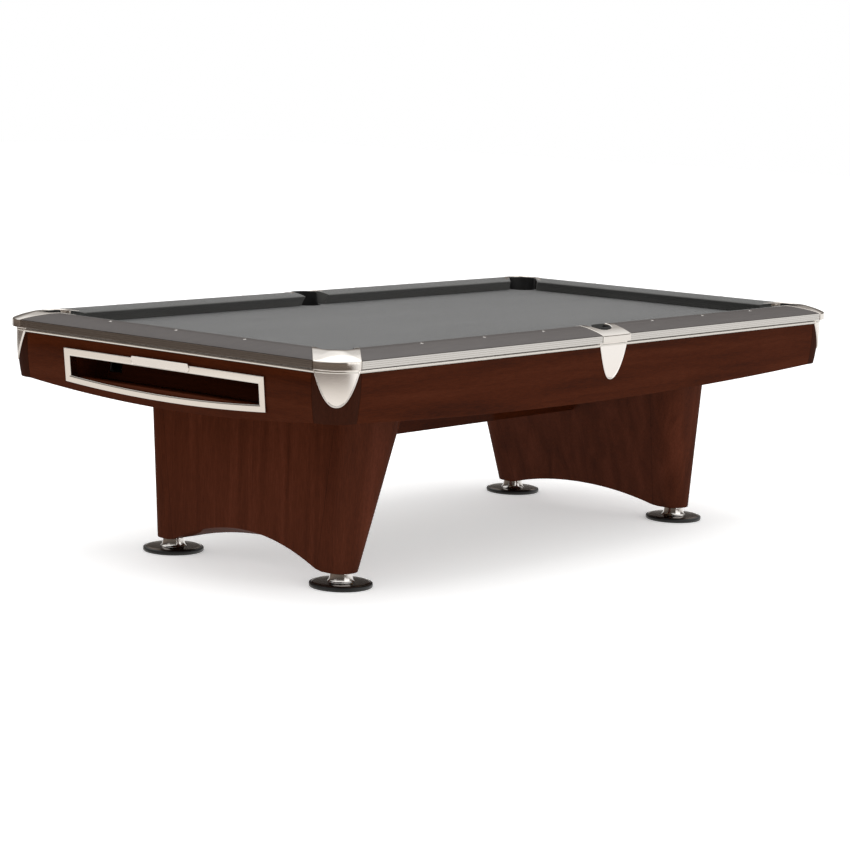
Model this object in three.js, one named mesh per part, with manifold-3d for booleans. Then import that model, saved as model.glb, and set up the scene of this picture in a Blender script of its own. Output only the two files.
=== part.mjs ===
// Nine-foot pool table with a ball return, in millimetres, +Z up.
// Origin: on the floor under the centre of the table. +X runs along the table to the head end,
// and the ball box is at the foot end, at -X. Seen from the foot end, left is +Y.
import * as THREE from 'three';
import { mergeVertices } from 'three/addons/utils/BufferGeometryUtils.js';
import Module from 'manifold-3d';

const wasm = await Module();
wasm.setup();

// ---- Driving dimensions ----
const FIELD_LENGTH = 2540; // between the noses of the end cushions
const FIELD_WIDTH = 1270; // between the noses of the long cushions
const RAIL_WIDTH = 164; // from a cushion's nose to the outside of the trim
const CORNER_RADIUS = 110; // outside corner of the rails, in plan
const GAP = 0.3; // left between pieces that touch
const TALL = [560, 900]; // height range that takes in the rails, caps and aprons
const UNDER_RAILS = [700, 900]; // height range that takes in the rails and caps only
const ROUND_STEPS = 64; // sides of a rounded corner's full circle

const CLOTH_TOP = 800;
const CLOTH_THICKNESS = 0.9;
const CLOTH_TO_SLATE = 0.1;
const SLATE_THICKNESS = 25;
const SLATE_OVERHANG = 104; // from the nose line to the edge of the slate
const SLATE_TO_RAIL = 4; // slot between the slate's edge and the castings round it
const RAIL_TO_CLOTH = 0.5; // under the lip of a rail
const CUSHION_TO_CLOTH = 1;
const NOSE_HEIGHT = 837;
const NOSE_HALF_DEPTH = 1.5; // the nose is a narrow upright face
const CREST_HEIGHT = 849.4;
const CREST_SETBACK = 65; // from the nose line to the back edge of the cushion
const CUSHION_FOOT_SETBACK = 23; // the cushion's face slopes back under the nose
const TRIM_TOP = 822;
const TRIM_BOTTOM = 797.3;
const TRIM_THICKNESS = 3;
const TRIM_END_GAP = 0.5;
const TRIM_NOTCH_DEPTH = 8; // for the side caps, down from the trim's top
// Top of a rail as [distance inwards from the outside of the trim, height].
const RAIL_TOP_CURVE = [[0, 822.5], [14, 828.5], [29, 834], [58, 842.3], [78, 847.2], [99, CREST_HEIGHT]];

const POCKET_RADIUS = 57;
const CORNER_POCKET_SETBACK = 203; // along the diagonal, from the outside corner
const CORNER_CAP_HALF_WIDTH = 75.7; // across the diagonal
const CORNER_HORN_REACH = 269; // along the diagonal, from the outside corner
const CORNER_HORN_TIP = 4.7; // width of a horn at its tip
const CORNER_HORN_LENGTH = 37;
const SIDE_POCKET_RADIUS = 60;
const SIDE_POCKET_SETBACK = 62; // outwards from the nose line
const SIDE_CAP_BACK_HALF_WIDTH = 81;
const SIDE_CAP_FRONT_HALF_WIDTH = 88;
const SIDE_HORN_SETBACK = 49; // horn tips, outwards from the nose line
const SIDE_HORN_TIP = 5; // width of a horn at its tip
const CAP_THROAT = 1; // the opening in a cap is wider than its pocket by this much
const CAP_PROUD = 1; // caps stand above the rails and outside the trim by this much
const CAP_WALL = 6;
const CAP_MASS_REACH = 400; // how far the stock of a corner cap runs along each side
const SIDE_SPAN = 120; // half of the stock of a side cap or shield, along the table
const OVERLAP = 0.5; // pieces of stock that are joined run into each other by this much
const TRIM_CLEARANCE = 0.25; // between the trim's face and the side cap in front of it
const LINER_BOTTOM = 740;
const LINER_TOP = 846;
const LINER_WALL = 3;
const LINER_SLACK = 0.5; // between a liner and the pocket round it
const LINER_LIP = 2; // the cut towards the bed starts this far below the cloth
const LINER_FRONT = 4; // and this far in front of the pocket's middle

const APRON_TOP = 782;
const APRON_BOTTOM_CORNER = 622;
const APRON_BOTTOM_MIDDLE = 587;
const APRON_TOP_INSET = 17; // inwards from the outside of the trim
const APRON_CURVE = 15; // how much further in the apron is at its corner bottom
const APRON_CURVE_POWER = 2.2;
const APRON_STEPS = 6;
const APRON_BACK_INSET = 56;
const CORNER_BLOCK_REACH = 18; // straight part of a corner block beyond its round
const APRON_TO_LINER = 3;

const SHIELD_TOP = 794;
const SHIELD_THICKNESS = 3;
const CORNER_SHIELD_TIP = 677;
const SIDE_SHIELD_TIP = 664;
const SHIELD_POWER = 2.2;
const SHIELD_MARGIN = 2; // wider than a corner cap, and narrower than a side cap, on each side
const SHIELD_REACH = 4; // straight part of a corner shield's stock beyond its round

const BALL_OPENING = { halfWidth: 447, top: 722, cornerBottom: 655, middleBottom: 637 };
const BALL_FRAME_WIDTH = 26;
const BALL_FRAME_BOTTOM_WIDTH = 22;
const BALL_FRAME_DEPTH = 9;
const BALL_FRAME_SETBACK = 2.6; // its rear face, inwards from the apron's face
const BALL_OPENING_SLACK = 3; // between the frame's inner edge and the hole in the apron
const BALL_BOX = { back: -1240, floorTop: 632, wall: 8, top: 735, halfWidth: 455 };
// The troughs fall towards the foot end, where two cross troughs lead to the ball box. Their
// floors also lean towards the box, so that the balls drop through the notches in its back wall.
const TROUGH = { middle: 667, innerWidth: 134, wall: 4, height: 45, floorFoot: 662, slope: 0.011 };
const TROUGH_ENDS = { foot: -1345, head: 1345, footSlope: -0.033 };
const CROSS_TROUGH = { x: -1186, innerWidth: 72, slope: 0.012, lean: 0.03, drop: 2 };
const NOTCH = { y: 416, width: 68 };

// Positions are of the middle of each timber, out from the table's centre.
const FRAME = { end: 1140, half: 19, longAt: 469, crossAt: 420, armAt: 300, endHalfLength: 594 };
const SIDE_ARM = [623, 648]; // heights
const END_ARM_DEPTH = 15;
const BEAM_BOTTOM = 402; // of the deep beam between the pedestals
const BEAM_TO_PEDESTAL = 2;
const BEAM_TENON = 5; // how far the deep beam runs up into the frame above it

const PEDESTAL_X = 962.5;
const FOOT_Y = 404;
const PEDESTAL_BOTTOM = 51;
const PEDESTAL_TOP = 604.7;
// Reaches from the feet's line at the bottom, and how much each grows per millimetre of height.
const PEDESTAL = { outer: 60, inner: 60, innerLean: 0.297, end: 55, endLean: 0.112 };
const PEDESTAL_ROUND = { radius: 60, lean: 0.062 };
const PEDESTAL_MIDDLE = 301; // height of a ring of edges round the pedestal
const PEDESTAL_HOLLOW = { wall: 24, bottom: 190, halfWidth: 330 };
const ARCH = { halfWidth: 352, rise: 89, innerShare: 0.58 };
const ARCH_REACH = [-80, 120]; // across the pedestal, from outside its outer face

const PAD_RADIUS = 107.5;
const PAD_THICKNESS = 17;
const STEM_RADIUS = 12;
const STEM_TOP = 150;
const SOCKET_TOP = 260;
const SOCKET_CLEARANCE = 0.6;
// Profiles as [radius, height above the pad's underside] and [radius, height above the pad].
const PAD_PROFILE = [[104, 0], [PAD_RADIUS, 3], [PAD_RADIUS, 12], [105, 15.5], [98, PAD_THICKNESS]];
const COLLAR_PROFILE = [[46, 0], [43.5, 3], [40.5, 8], [38.5, 16]];
const COLLAR_TOP_RADIUS = 36.5;

const halfLength = FIELD_LENGTH / 2 + RAIL_WIDTH;
const halfWidth = FIELD_WIDTH / 2 + RAIL_WIDTH;
const slateTop = CLOTH_TOP - CLOTH_THICKNESS - CLOTH_TO_SLATE;
const frameTop = slateTop - SLATE_THICKNESS - GAP;

// ---- Materials ----
const finish = (color, roughness, metalness) => (
  new THREE.MeshStandardMaterial({ color, roughness, metalness })
);
const materials = {
  wood: finish(0x4a2a20, 0.35, 0),
  hiddenWood: finish(0x9a7a55, 0.8, 0),
  laminate: finish(0x5f5955, 0.45, 0),
  cloth: finish(0x7d7d7b, 0.95, 0),
  cushionCloth: finish(0x6b6b69, 0.95, 0),
  slate: finish(0x55595e, 0.9, 0),
  trim: finish(0xd8cfc8, 0.3, 1),
  casting: finish(0xddd8d3, 0.3, 1),
  steel: finish(0xc8c8c8, 0.2, 1),
  blackRubber: finish(0x141414, 0.8, 0),
  blackPlastic: finish(0x1b1b1b, 0.5, 0),
};

// ---- Solids ----
const MERGE_DISTANCE = 1e-4;

function signedVolume(positions, index) {
  const corner = (i) => new THREE.Vector3().fromArray(positions, 3 * index[i]);
  let total = 0;
  for (let i = 0; i < index.length; i += 3) {
    total += corner(i).dot(corner(i + 1).cross(corner(i + 2)));
  }
  return total / 6;
}

// A closed geometry as a solid, with its faces turned outwards.
function solid(geometry) {
  const bare = geometry.clone();
  bare.deleteAttribute('normal');
  bare.deleteAttribute('uv');
  const merged = mergeVertices(bare, MERGE_DISTANCE);
  const positions = new Float32Array(merged.attributes.position.array);
  const index = Uint32Array.from(merged.index.array);
  if (signedVolume(positions, index) < 0) index.reverse();
  return new wasm.Manifold(new wasm.Mesh({ numProp: 3, vertProperties: positions, triVerts: index }));
}

function geometryOf(shape) {
  const mesh = shape.getMesh();
  const geometry = new THREE.BufferGeometry();
  const positions = new Float32Array(mesh.vertProperties);
  geometry.setAttribute('position', new THREE.BufferAttribute(positions, 3));
  geometry.setIndex(new THREE.BufferAttribute(new Uint32Array(mesh.triVerts), 1));
  const flat = geometry.toNonIndexed();
  flat.computeVertexNormals();
  return flat;
}

const joined = (solids) => solids.reduce((whole, next) => whole.add(next));

function block([x0, x1], [y0, y1], [z0, z1]) {
  const geometry = new THREE.BoxGeometry(x1 - x0, y1 - y0, z1 - z0);
  return solid(geometry.translate((x0 + x1) / 2, (y0 + y1) / 2, (z0 + z1) / 2));
}

function cylinder(radius, [x, y], [z0, z1], segments = 32) {
  const geometry = new THREE.CylinderGeometry(radius, radius, z1 - z0, segments);
  return solid(geometry.rotateX(Math.PI / 2).translate(x, y, (z0 + z1) / 2));
}

function extrude(points, depth) {
  const outline = new THREE.Shape(points.map(([a, b]) => new THREE.Vector2(a, b)));
  return new THREE.ExtrudeGeometry(outline, { depth, bevelEnabled: false });
}

// An outline in plan, extruded upwards.
const upright = (points, [z0, z1]) => solid(extrude(points, z1 - z0).translate(0, 0, z0));

// An outline of [y, z] points, extruded along X.
function extrudedAlongX(points, [x0, x1]) {
  const geometry = extrude(points, x1 - x0);
  return geometry.applyMatrix4(new THREE.Matrix4().set(0, 0, 1, x0, 1, 0, 0, 0, 0, 1, 0, 0, 0, 0, 0, 1));
}

const alongX = (points, span) => solid(extrudedAlongX(points, span));

// An outline of [x, z] points, extruded along Y.
function alongY(points, [y0, y1]) {
  const geometry = extrude(points, y1 - y0);
  geometry.applyMatrix4(new THREE.Matrix4().set(1, 0, 0, 0, 0, 0, -1, y1, 0, 1, 0, 0, 0, 0, 0, 1));
  return solid(geometry);
}

// A profile of [radius, z] points turned about a vertical axis.
function turned(profile, [x, y] = [0, 0], segments = 48) {
  const points = profile.map(([radius, z]) => new THREE.Vector2(radius, z));
  return solid(new THREE.LatheGeometry(points, segments).rotateX(Math.PI / 2).translate(x, y, 0));
}

const between = (a, b) => [Math.min(a, b), Math.max(a, b)];
const turn = (shape, degrees) => shape.rotate([0, 0, degrees]);
const moved = (shape, x, y, z) => shape.translate([x, y, z]);

// Raises a shape by its slope along one horizontal axis.
function sloping(shape, { x = 0, y = 0 }) {
  const shear = new THREE.Matrix4().makeShear(0, x, 0, y, 0, 0);
  return shape.transform([...shear.elements]);
}

// The values of a function at equal steps from 0 to 1.
const steps = (count, value) => Array.from({ length: count + 1 }, (_, i) => value(i / count));

// ---- Sides and corners ----
// The four sides, each built as if it were the left one and then turned about the centre.
const SIDES = [
  { name: 'left', turn: 0, nose: FIELD_WIDTH / 2, reach: halfLength },
  { name: 'foot', turn: 90, nose: FIELD_LENGTH / 2, reach: halfWidth },
  { name: 'right', turn: 180, nose: FIELD_WIDTH / 2, reach: halfLength },
  { name: 'head', turn: -90, nose: FIELD_LENGTH / 2, reach: halfWidth },
];
const longSide = (side) => side.name === 'left' || side.name === 'right';
const outerFace = (side) => side.nose + RAIL_WIDTH;

// A section given as [distance inwards from the trim's outside, height], put on a side.
const placed = (side, section) => section.map(([s, z]) => [outerFace(side) - s, z]);

const CORNERS = [
  { name: 'foot_left', sx: -1, sy: 1 },
  { name: 'foot_right', sx: -1, sy: -1 },
  { name: 'head_left', sx: 1, sy: 1 },
  { name: 'head_right', sx: 1, sy: -1 },
];

// A point given along and across a corner's diagonal, from the outside corner inwards.
function onDiagonal({ sx, sy }, along, across) {
  return [
    sx * (halfLength - (along + across) * Math.SQRT1_2),
    sy * (halfWidth - (along - across) * Math.SQRT1_2),
  ];
}

// ---- Pocket openings and the plan of the caps ----
const MOUTH_REACH = 150; // how far a pocket's cut runs out over the bed
const SIDE_MOUTH_REACH = 90;
const OUTSIDE = 20; // how far a cut runs beyond the outside of the table

// A rectangle given along and across a corner's diagonal, about the middle of its pocket.
function onPocket(corner, [from, to], half) {
  const rectangle = [[from, -half], [from, half], [to, half], [to, -half]];
  return rectangle.map(([a, b]) => onDiagonal(corner, CORNER_POCKET_SETBACK + a, b));
}

// The round of a pocket with its mouth, which opens towards the bed.
function cornerSlot(corner, radius, height = TALL) {
  const centre = onDiagonal(corner, CORNER_POCKET_SETBACK, 0);
  const mouth = onPocket(corner, [0, MOUTH_REACH], radius);
  return cylinder(radius, centre, height).add(upright(mouth, height));
}

function sideSlot(sy, radius, height = TALL) {
  const y = FIELD_WIDTH / 2 + SIDE_POCKET_SETBACK;
  const mouth = block([-radius, radius], [y - SIDE_MOUTH_REACH, y], height);
  const slot = cylinder(radius, [0, y], height).add(mouth);
  return sy > 0 ? slot : turn(slot, 180);
}

function cornerCapPlan(corner, spare = 0) {
  const half = CORNER_CAP_HALF_WIDTH + spare;
  const reach = CORNER_HORN_REACH + spare;
  const tip = CORNER_CAP_HALF_WIDTH - CORNER_HORN_TIP - spare;
  const root = POCKET_RADIUS + CAP_THROAT - spare;
  const rootReach = reach - CORNER_HORN_LENGTH;
  const plan = [[-OUTSIDE, -half], [-OUTSIDE, half], [reach, half], [reach, tip], [rootReach, root],
    [rootReach, -root], [reach, -tip], [reach, -half]];
  return plan.map(([a, b]) => onDiagonal(corner, a, b));
}

function sideCapPlan(sy, spare = 0) {
  const back = SIDE_CAP_BACK_HALF_WIDTH + spare;
  const front = SIDE_CAP_FRONT_HALF_WIDTH + spare;
  const tip = SIDE_CAP_FRONT_HALF_WIDTH - SIDE_HORN_TIP - spare;
  const root = SIDE_POCKET_RADIUS + CAP_THROAT - spare;
  const outside = halfWidth + OUTSIDE / 2;
  const hornTip = FIELD_WIDTH / 2 + SIDE_HORN_SETBACK - spare;
  const crest = FIELD_WIDTH / 2 + CREST_SETBACK - spare;
  const plan = [[-back, outside], [back, outside], [front, hornTip], [tip, hornTip], [root, crest],
    [-root, crest], [-tip, hornTip], [-front, hornTip]];
  return plan.map(([x, y]) => [x, sy * y]);
}

const pocketSlots = joined([
  ...CORNERS.map((corner) => cornerSlot(corner, POCKET_RADIUS)),
  ...[1, -1].map((sy) => sideSlot(sy, SIDE_POCKET_RADIUS)),
]);
const capRooms = joined([
  ...CORNERS.map((corner) => upright(cornerCapPlan(corner, GAP), TALL)),
  ...[1, -1].map((sy) => upright(sideCapPlan(sy, GAP), TALL)),
]);
const railCutter = pocketSlots.add(capRooms);

// ---- Pieces ----
const table = new THREE.Group();

function addPiece(name, shape, material) {
  const mesh = new THREE.Mesh(geometryOf(shape), material);
  mesh.name = name;
  table.add(mesh);
}

// Slate bed in three slabs, with the cloth on top.
function addBed() {
  const x = FIELD_LENGTH / 2 + SLATE_OVERHANG;
  const y = FIELD_WIDTH / 2 + SLATE_OVERHANG;
  const seam = x / 3;
  const slabs = {
    foot: [-x, -seam - GAP / 2],
    middle: [-seam + GAP / 2, seam - GAP / 2],
    head: [seam + GAP / 2, x],
  };
  const cornerCuts = CORNERS.map((corner) => {
    const radius = POCKET_RADIUS + CAP_THROAT;
    const outwards = upright(onPocket(corner, [-CORNER_POCKET_SETBACK, 0], radius), TALL);
    return outwards.add(cylinder(radius, onDiagonal(corner, CORNER_POCKET_SETBACK, 0), TALL));
  });
  const sideCuts = [1, -1].map((sy) => {
    const centre = [0, sy * (FIELD_WIDTH / 2 + SIDE_POCKET_SETBACK)];
    return cylinder(SIDE_POCKET_RADIUS + CAP_THROAT, centre, TALL);
  });
  const pocketCuts = joined([...cornerCuts, ...sideCuts]);
  for (const [name, span] of Object.entries(slabs)) {
    const slab = block(span, [-y, y], [slateTop - SLATE_THICKNESS, slateTop]);
    addPiece(`slate_${name}`, slab.subtract(pocketCuts), materials.slate);
  }
  const cloth = block([-x, x], [-y, y], [CLOTH_TOP - CLOTH_THICKNESS, CLOTH_TOP]);
  addPiece('bed_cloth', cloth.subtract(pocketCuts), materials.cloth);
}

// Section of a rail as [distance inwards from the trim's outside, height].
function railSection() {
  const back = RAIL_WIDTH - CREST_SETBACK;
  const front = TRIM_THICKNESS + GAP;
  const slateEdge = RAIL_WIDTH - SLATE_OVERHANG - 2 * SLATE_TO_RAIL;
  const [[, lowest], [nextAt, next]] = RAIL_TOP_CURVE;
  const edge = [front, lowest + (next - lowest) * front / nextAt];
  const top = RAIL_TOP_CURVE.filter(([s]) => s > front);
  const lip = CLOTH_TOP + RAIL_TO_CLOTH;
  return [[front, TRIM_BOTTOM], edge, ...top, [back, lip], [slateEdge, lip], [slateEdge, TRIM_BOTTOM]];
}

function cushionSection() {
  const back = RAIL_WIDTH - CREST_SETBACK + GAP;
  const bottom = CLOTH_TOP + CUSHION_TO_CLOTH;
  const nose = [1, -1].map((up) => [RAIL_WIDTH, NOSE_HEIGHT + up * NOSE_HALF_DEPTH]);
  return [[back, bottom], [back, CREST_HEIGHT - CLOTH_TO_SLATE], ...nose,
    [RAIL_WIDTH - CUSHION_FOOT_SETBACK, bottom]];
}

// Six rails with their cushions: one on each end and two on each long side.
function addRails() {
  for (const side of SIDES) {
    const limit = side.reach - CORNER_RADIUS;
    const spans = longSide(side) ? [[-limit, 0], [0, limit]] : [[-limit, limit]];
    for (const span of spans) {
      const end = (span[0] < 0) === (side.turn === 0) ? 'foot' : 'head';
      const name = longSide(side) ? `${side.name}_${end}` : side.name;
      const body = turn(alongX(placed(side, railSection()), span), side.turn);
      const cushion = turn(alongX(placed(side, cushionSection()), span), side.turn);
      addPiece(`rail_${name}`, body.subtract(railCutter), materials.laminate);
      addPiece(`cushion_${name}`, cushion.subtract(railCutter), materials.cushionCloth);
    }
  }
}

// Aluminium trim on the outside of the rails, notched for the side pocket caps.
function addTrims() {
  for (const side of SIDES) {
    const limit = side.reach - CORNER_RADIUS - TRIM_END_GAP;
    const y = outerFace(side);
    let trim = block([-limit, limit], [y - TRIM_THICKNESS, y], [TRIM_BOTTOM, TRIM_TOP]);
    if (longSide(side)) {
      const half = SIDE_CAP_BACK_HALF_WIDTH + 1;
      const depth = [TRIM_TOP - TRIM_NOTCH_DEPTH, TALL[1]];
      trim = trim.subtract(block([-half, half], [y - OUTSIDE, y + OUTSIDE], depth));
    }
    addPiece(`trim_${side.name}`, turn(trim, side.turn), materials.trim);
  }
}

// Solid under the rails' top curve, raised to stand proud and drawn in by a wall's thickness.
function railTopSection(wall) {
  const curve = RAIL_TOP_CURVE.map(([s, z]) => [s - CAP_PROUD + wall, z + CAP_PROUD - wall]);
  const field = RAIL_WIDTH + OUTSIDE / 2;
  const bottom = TRIM_BOTTOM - wall;
  return [[wall - CAP_PROUD, bottom], ...curve, [field, NOSE_HEIGHT + CAP_PROUD - wall], [field, bottom]];
}

// The same solid carried round a corner and some way along both of its sides.
function cornerMass(corner, wall) {
  const section = railTopSection(wall);
  const centre = [corner.sx * (halfLength - CORNER_RADIUS), corner.sy * (halfWidth - CORNER_RADIUS)];
  const inside = section.filter(([s]) => s < CORNER_RADIUS);
  const top = inside.at(-1);
  const profile = [[0, TRIM_BOTTOM - wall], ...inside.map(([s, z]) => [CORNER_RADIUS - s, z]), [0, top[1]]];
  const lathe = turned(profile, centre, ROUND_STEPS);
  const x = between(centre[0] - corner.sx * CAP_MASS_REACH, centre[0] + corner.sx * OVERLAP);
  const y = between(centre[1] - corner.sy * CAP_MASS_REACH, centre[1] + corner.sy * OVERLAP);
  const long = alongX(section.map(([s, z]) => [corner.sy * (halfWidth - s), z]), x);
  const short = alongY(section.map(([s, z]) => [corner.sx * (halfLength - s), z]), y);
  return joined([lathe, long, short]);
}

function slateRoom() {
  const x = FIELD_LENGTH / 2 + SLATE_OVERHANG + SLATE_TO_RAIL;
  const y = FIELD_WIDTH / 2 + SLATE_OVERHANG + SLATE_TO_RAIL;
  return block([-x, x], [-y, y], [UNDER_RAILS[0], CLOTH_TOP + CUSHION_TO_CLOTH]);
}

// Cast caps round the pockets, hollow from below.
function addCornerCaps() {
  for (const corner of CORNERS) {
    const outside = upright(cornerCapPlan(corner), TALL).intersect(cornerMass(corner, 0));
    const half = CORNER_CAP_HALF_WIDTH - CAP_WALL;
    const room = upright(onPocket(corner, [-CORNER_POCKET_SETBACK - OUTSIDE, 0], half), UNDER_RAILS);
    const inside = room.intersect(cornerMass(corner, CAP_WALL));
    const hollow = inside.subtract(cornerSlot(corner, POCKET_RADIUS + CAP_WALL));
    const cap = outside.subtract(hollow).subtract(cornerSlot(corner, POCKET_RADIUS)).subtract(slateRoom());
    addPiece(`corner_cap_${corner.name}`, cap, materials.casting);
  }
}

// The side caps also leave room for the trim, which passes in front of their lower part.
function addSideCaps() {
  const span = [-SIDE_SPAN, SIDE_SPAN];
  for (const sy of [1, -1]) {
    const mass = (wall) => alongX(railTopSection(wall).map(([s, z]) => [sy * (halfWidth - s), z]), span);
    const outside = upright(sideCapPlan(sy), TALL).intersect(mass(0));
    const half = SIDE_CAP_BACK_HALF_WIDTH - CAP_WALL;
    const back = between(sy * (FIELD_WIDTH / 2 + SIDE_POCKET_SETBACK), sy * (halfWidth + OUTSIDE));
    const inside = block([-half, half], back, UNDER_RAILS).intersect(mass(CAP_WALL));
    const hollow = inside.subtract(sideSlot(sy, SIDE_POCKET_RADIUS + CAP_WALL));
    const face = between(sy * (halfWidth + TRIM_CLEARANCE), sy * (halfWidth - TRIM_THICKNESS - GAP));
    const trimRoom = block(span, face, [UNDER_RAILS[0], TRIM_TOP - TRIM_NOTCH_DEPTH + GAP]);
    const cap = outside.subtract(hollow).subtract(sideSlot(sy, SIDE_POCKET_RADIUS));
    const name = `side_cap_${sy > 0 ? 'left' : 'right'}`;
    addPiece(name, cap.subtract(slateRoom()).subtract(trimRoom), materials.casting);
  }
}

// ---- Cabinet ----
// The apron's face curves inwards towards its bottom edge.
function apronInset(z) {
  const down = (APRON_TOP - z) / (APRON_TOP - APRON_BOTTOM_CORNER);
  return APRON_TOP_INSET + APRON_CURVE * Math.max(down, 0) ** APRON_CURVE_POWER;
}

function apronSection(bottom) {
  const face = steps(APRON_STEPS, (t) => {
    const z = bottom + (APRON_TOP - bottom) * t;
    return [apronInset(z), z];
  });
  return [...face, [APRON_BACK_INSET, APRON_TOP], [APRON_BACK_INSET, bottom]];
}

// A line that sags from its ends to its middle, as [x, z] points from -half to half.
const sagging = (half, ends, middle, count) => steps(count, (t) => {
  const x = half * (2 * t - 1);
  return [x, middle + (ends - middle) * (x / half) ** 2];
});

// Outline of the ball box's opening, widened by a margin, as [across, height].
function ballOpening(margin, bottomMargin) {
  const half = BALL_OPENING.halfWidth + margin;
  const corner = BALL_OPENING.cornerBottom - bottomMargin;
  const middle = BALL_OPENING.middleBottom - bottomMargin;
  const top = BALL_OPENING.top + margin;
  return [...sagging(half, corner, middle, 12), [half, top], [-half, top]];
}

function addAprons() {
  for (const side of SIDES) {
    const end = side.reach - CORNER_RADIUS - CORNER_BLOCK_REACH;
    const bar = alongX(placed(side, apronSection(APRON_BOTTOM_MIDDLE)), [GAP / 2 - end, end - GAP / 2]);
    const bottom = sagging(end, APRON_BOTTOM_CORNER, APRON_BOTTOM_MIDDLE, 20);
    const front = alongY([...bottom, [end, CLOTH_TOP], [-end, CLOTH_TOP]], [side.nose, outerFace(side)]);
    let apron = bar.intersect(front);
    if (longSide(side)) {
      const centre = [0, side.nose + SIDE_POCKET_SETBACK];
      const depth = [LINER_BOTTOM - 2 * APRON_TO_LINER, TALL[1]];
      apron = apron.subtract(cylinder(SIDE_POCKET_RADIUS + APRON_TO_LINER, centre, depth, 40));
    }
    if (side.name === 'foot') {
      const opening = ballOpening(BALL_OPENING_SLACK, BALL_OPENING_SLACK);
      apron = apron.subtract(alongY(opening, [side.nose, outerFace(side) + OUTSIDE]));
    }
    addPiece(`apron_${side.name}`, turn(apron, side.turn), materials.wood);
  }
}

// A section carried round a corner and a short reach along both of its sides.
function cornerRing(corner, section, reach) {
  const cx = halfLength - CORNER_RADIUS;
  const cy = halfWidth - CORNER_RADIUS;
  const profile = [...section, section[0]].map(([s, z]) => [CORNER_RADIUS - s, z]);
  const quadrant = block([cx, halfLength + OUTSIDE], [cy, halfWidth + OUTSIDE], TALL);
  const quarter = turned(profile, [cx, cy], ROUND_STEPS).intersect(quadrant);
  const long = alongX(section.map(([s, z]) => [halfWidth - s, z]), [cx - reach, cx + OVERLAP]);
  const short = alongY(section.map(([s, z]) => [halfLength - s, z]), [cy - reach, cy + OVERLAP]);
  const ring = joined([quarter, long, short]);
  if (corner.sx === corner.sy) return corner.sx > 0 ? ring : turn(ring, 180);
  return ring.mirror([corner.sx > 0 ? 0 : 1, corner.sx > 0 ? 1 : 0, 0]);
}

// Outline of a shield as [across, height]: a flat top over a curve down to a point.
const shieldOutline = (half, tip) => steps(16, (t) => {
  const across = half * (1 - 2 * t);
  return [across, tip + (SHIELD_TOP - tip) * Math.abs(across / half) ** SHIELD_POWER];
});

// Section of a shield, a thin skin that follows the face of the apron.
function shieldSection(tip) {
  const heights = steps(APRON_STEPS, (t) => tip + (SHIELD_TOP - tip) * t);
  const outside = heights.map((z) => [apronInset(z) - GAP - SHIELD_THICKNESS, z]);
  const inside = heights.map((z) => [apronInset(z) - GAP, z]);
  return [...outside, ...inside.reverse()];
}

// Corner blocks that join the aprons, and the cast shields over them and over the long aprons.
function addCornersOfCabinet() {
  for (const corner of CORNERS) {
    const body = cornerRing(corner, apronSection(APRON_BOTTOM_CORNER), CORNER_BLOCK_REACH - GAP / 2);
    addPiece(`corner_block_${corner.name}`, body, materials.wood);
    const skin = cornerRing(corner, shieldSection(CORNER_SHIELD_TIP), SHIELD_REACH);
    const across = shieldOutline(CORNER_CAP_HALF_WIDTH + SHIELD_MARGIN, CORNER_SHIELD_TIP);
    const mask = turn(alongY(across, [-halfWidth / 2, halfWidth / 2]), corner.sx === corner.sy ? -45 : 45);
    const [x, y] = onDiagonal(corner, CORNER_RADIUS, 0);
    addPiece(`corner_shield_${corner.name}`, skin.intersect(moved(mask, x, y, 0)), materials.casting);
  }
  for (const sy of [1, -1]) {
    const section = shieldSection(SIDE_SHIELD_TIP).map(([s, z]) => [halfWidth - s, z]);
    const across = shieldOutline(SIDE_CAP_BACK_HALF_WIDTH - SHIELD_MARGIN, SIDE_SHIELD_TIP);
    const shield = alongX(section, [-SIDE_SPAN, SIDE_SPAN]).intersect(alongY(across, [0, halfLength]));
    const name = `side_shield_${sy > 0 ? 'left' : 'right'}`;
    addPiece(name, sy > 0 ? shield : turn(shield, 180), materials.casting);
  }
}

// ---- Ball return ----
// Cast frame round the opening, leaning with the apron's face.
function addBallFrame() {
  const top = BALL_OPENING.top + BALL_FRAME_WIDTH;
  const bottom = BALL_OPENING.cornerBottom - BALL_FRAME_BOTTOM_WIDTH;
  const lean = (apronInset(bottom) - apronInset(top)) / (top - bottom);
  const outer = alongY(ballOpening(BALL_FRAME_WIDTH, BALL_FRAME_BOTTOM_WIDTH), [0, BALL_FRAME_DEPTH]);
  const inner = alongY(ballOpening(0, 0), [-OUTSIDE, OUTSIDE]);
  const leaning = new THREE.Matrix4().makeShear(0, 0, 0, 0, 0, lean);
  const frame = outer.subtract(inner).transform([...leaning.elements]);
  const back = halfLength - apronInset(top) + BALL_FRAME_SETBACK - lean * top;
  addPiece('ball_box_frame', turn(moved(frame, 0, back, 0), 90), materials.casting);
}

const crossFloor = (y) => (
  TROUGH.floorFoot - CROSS_TROUGH.drop - CROSS_TROUGH.slope * (TROUGH.middle - Math.abs(y))
);

// Opening through which the balls run from a cross trough into the ball box.
function notch(sy, span) {
  const y = sy * NOTCH.y;
  const floor = crossFloor(y) - CROSS_TROUGH.lean * CROSS_TROUGH.innerWidth / 2 - OVERLAP;
  return block(span, [y - NOTCH.width / 2, y + NOTCH.width / 2], [floor, CLOTH_TOP]);
}

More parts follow.
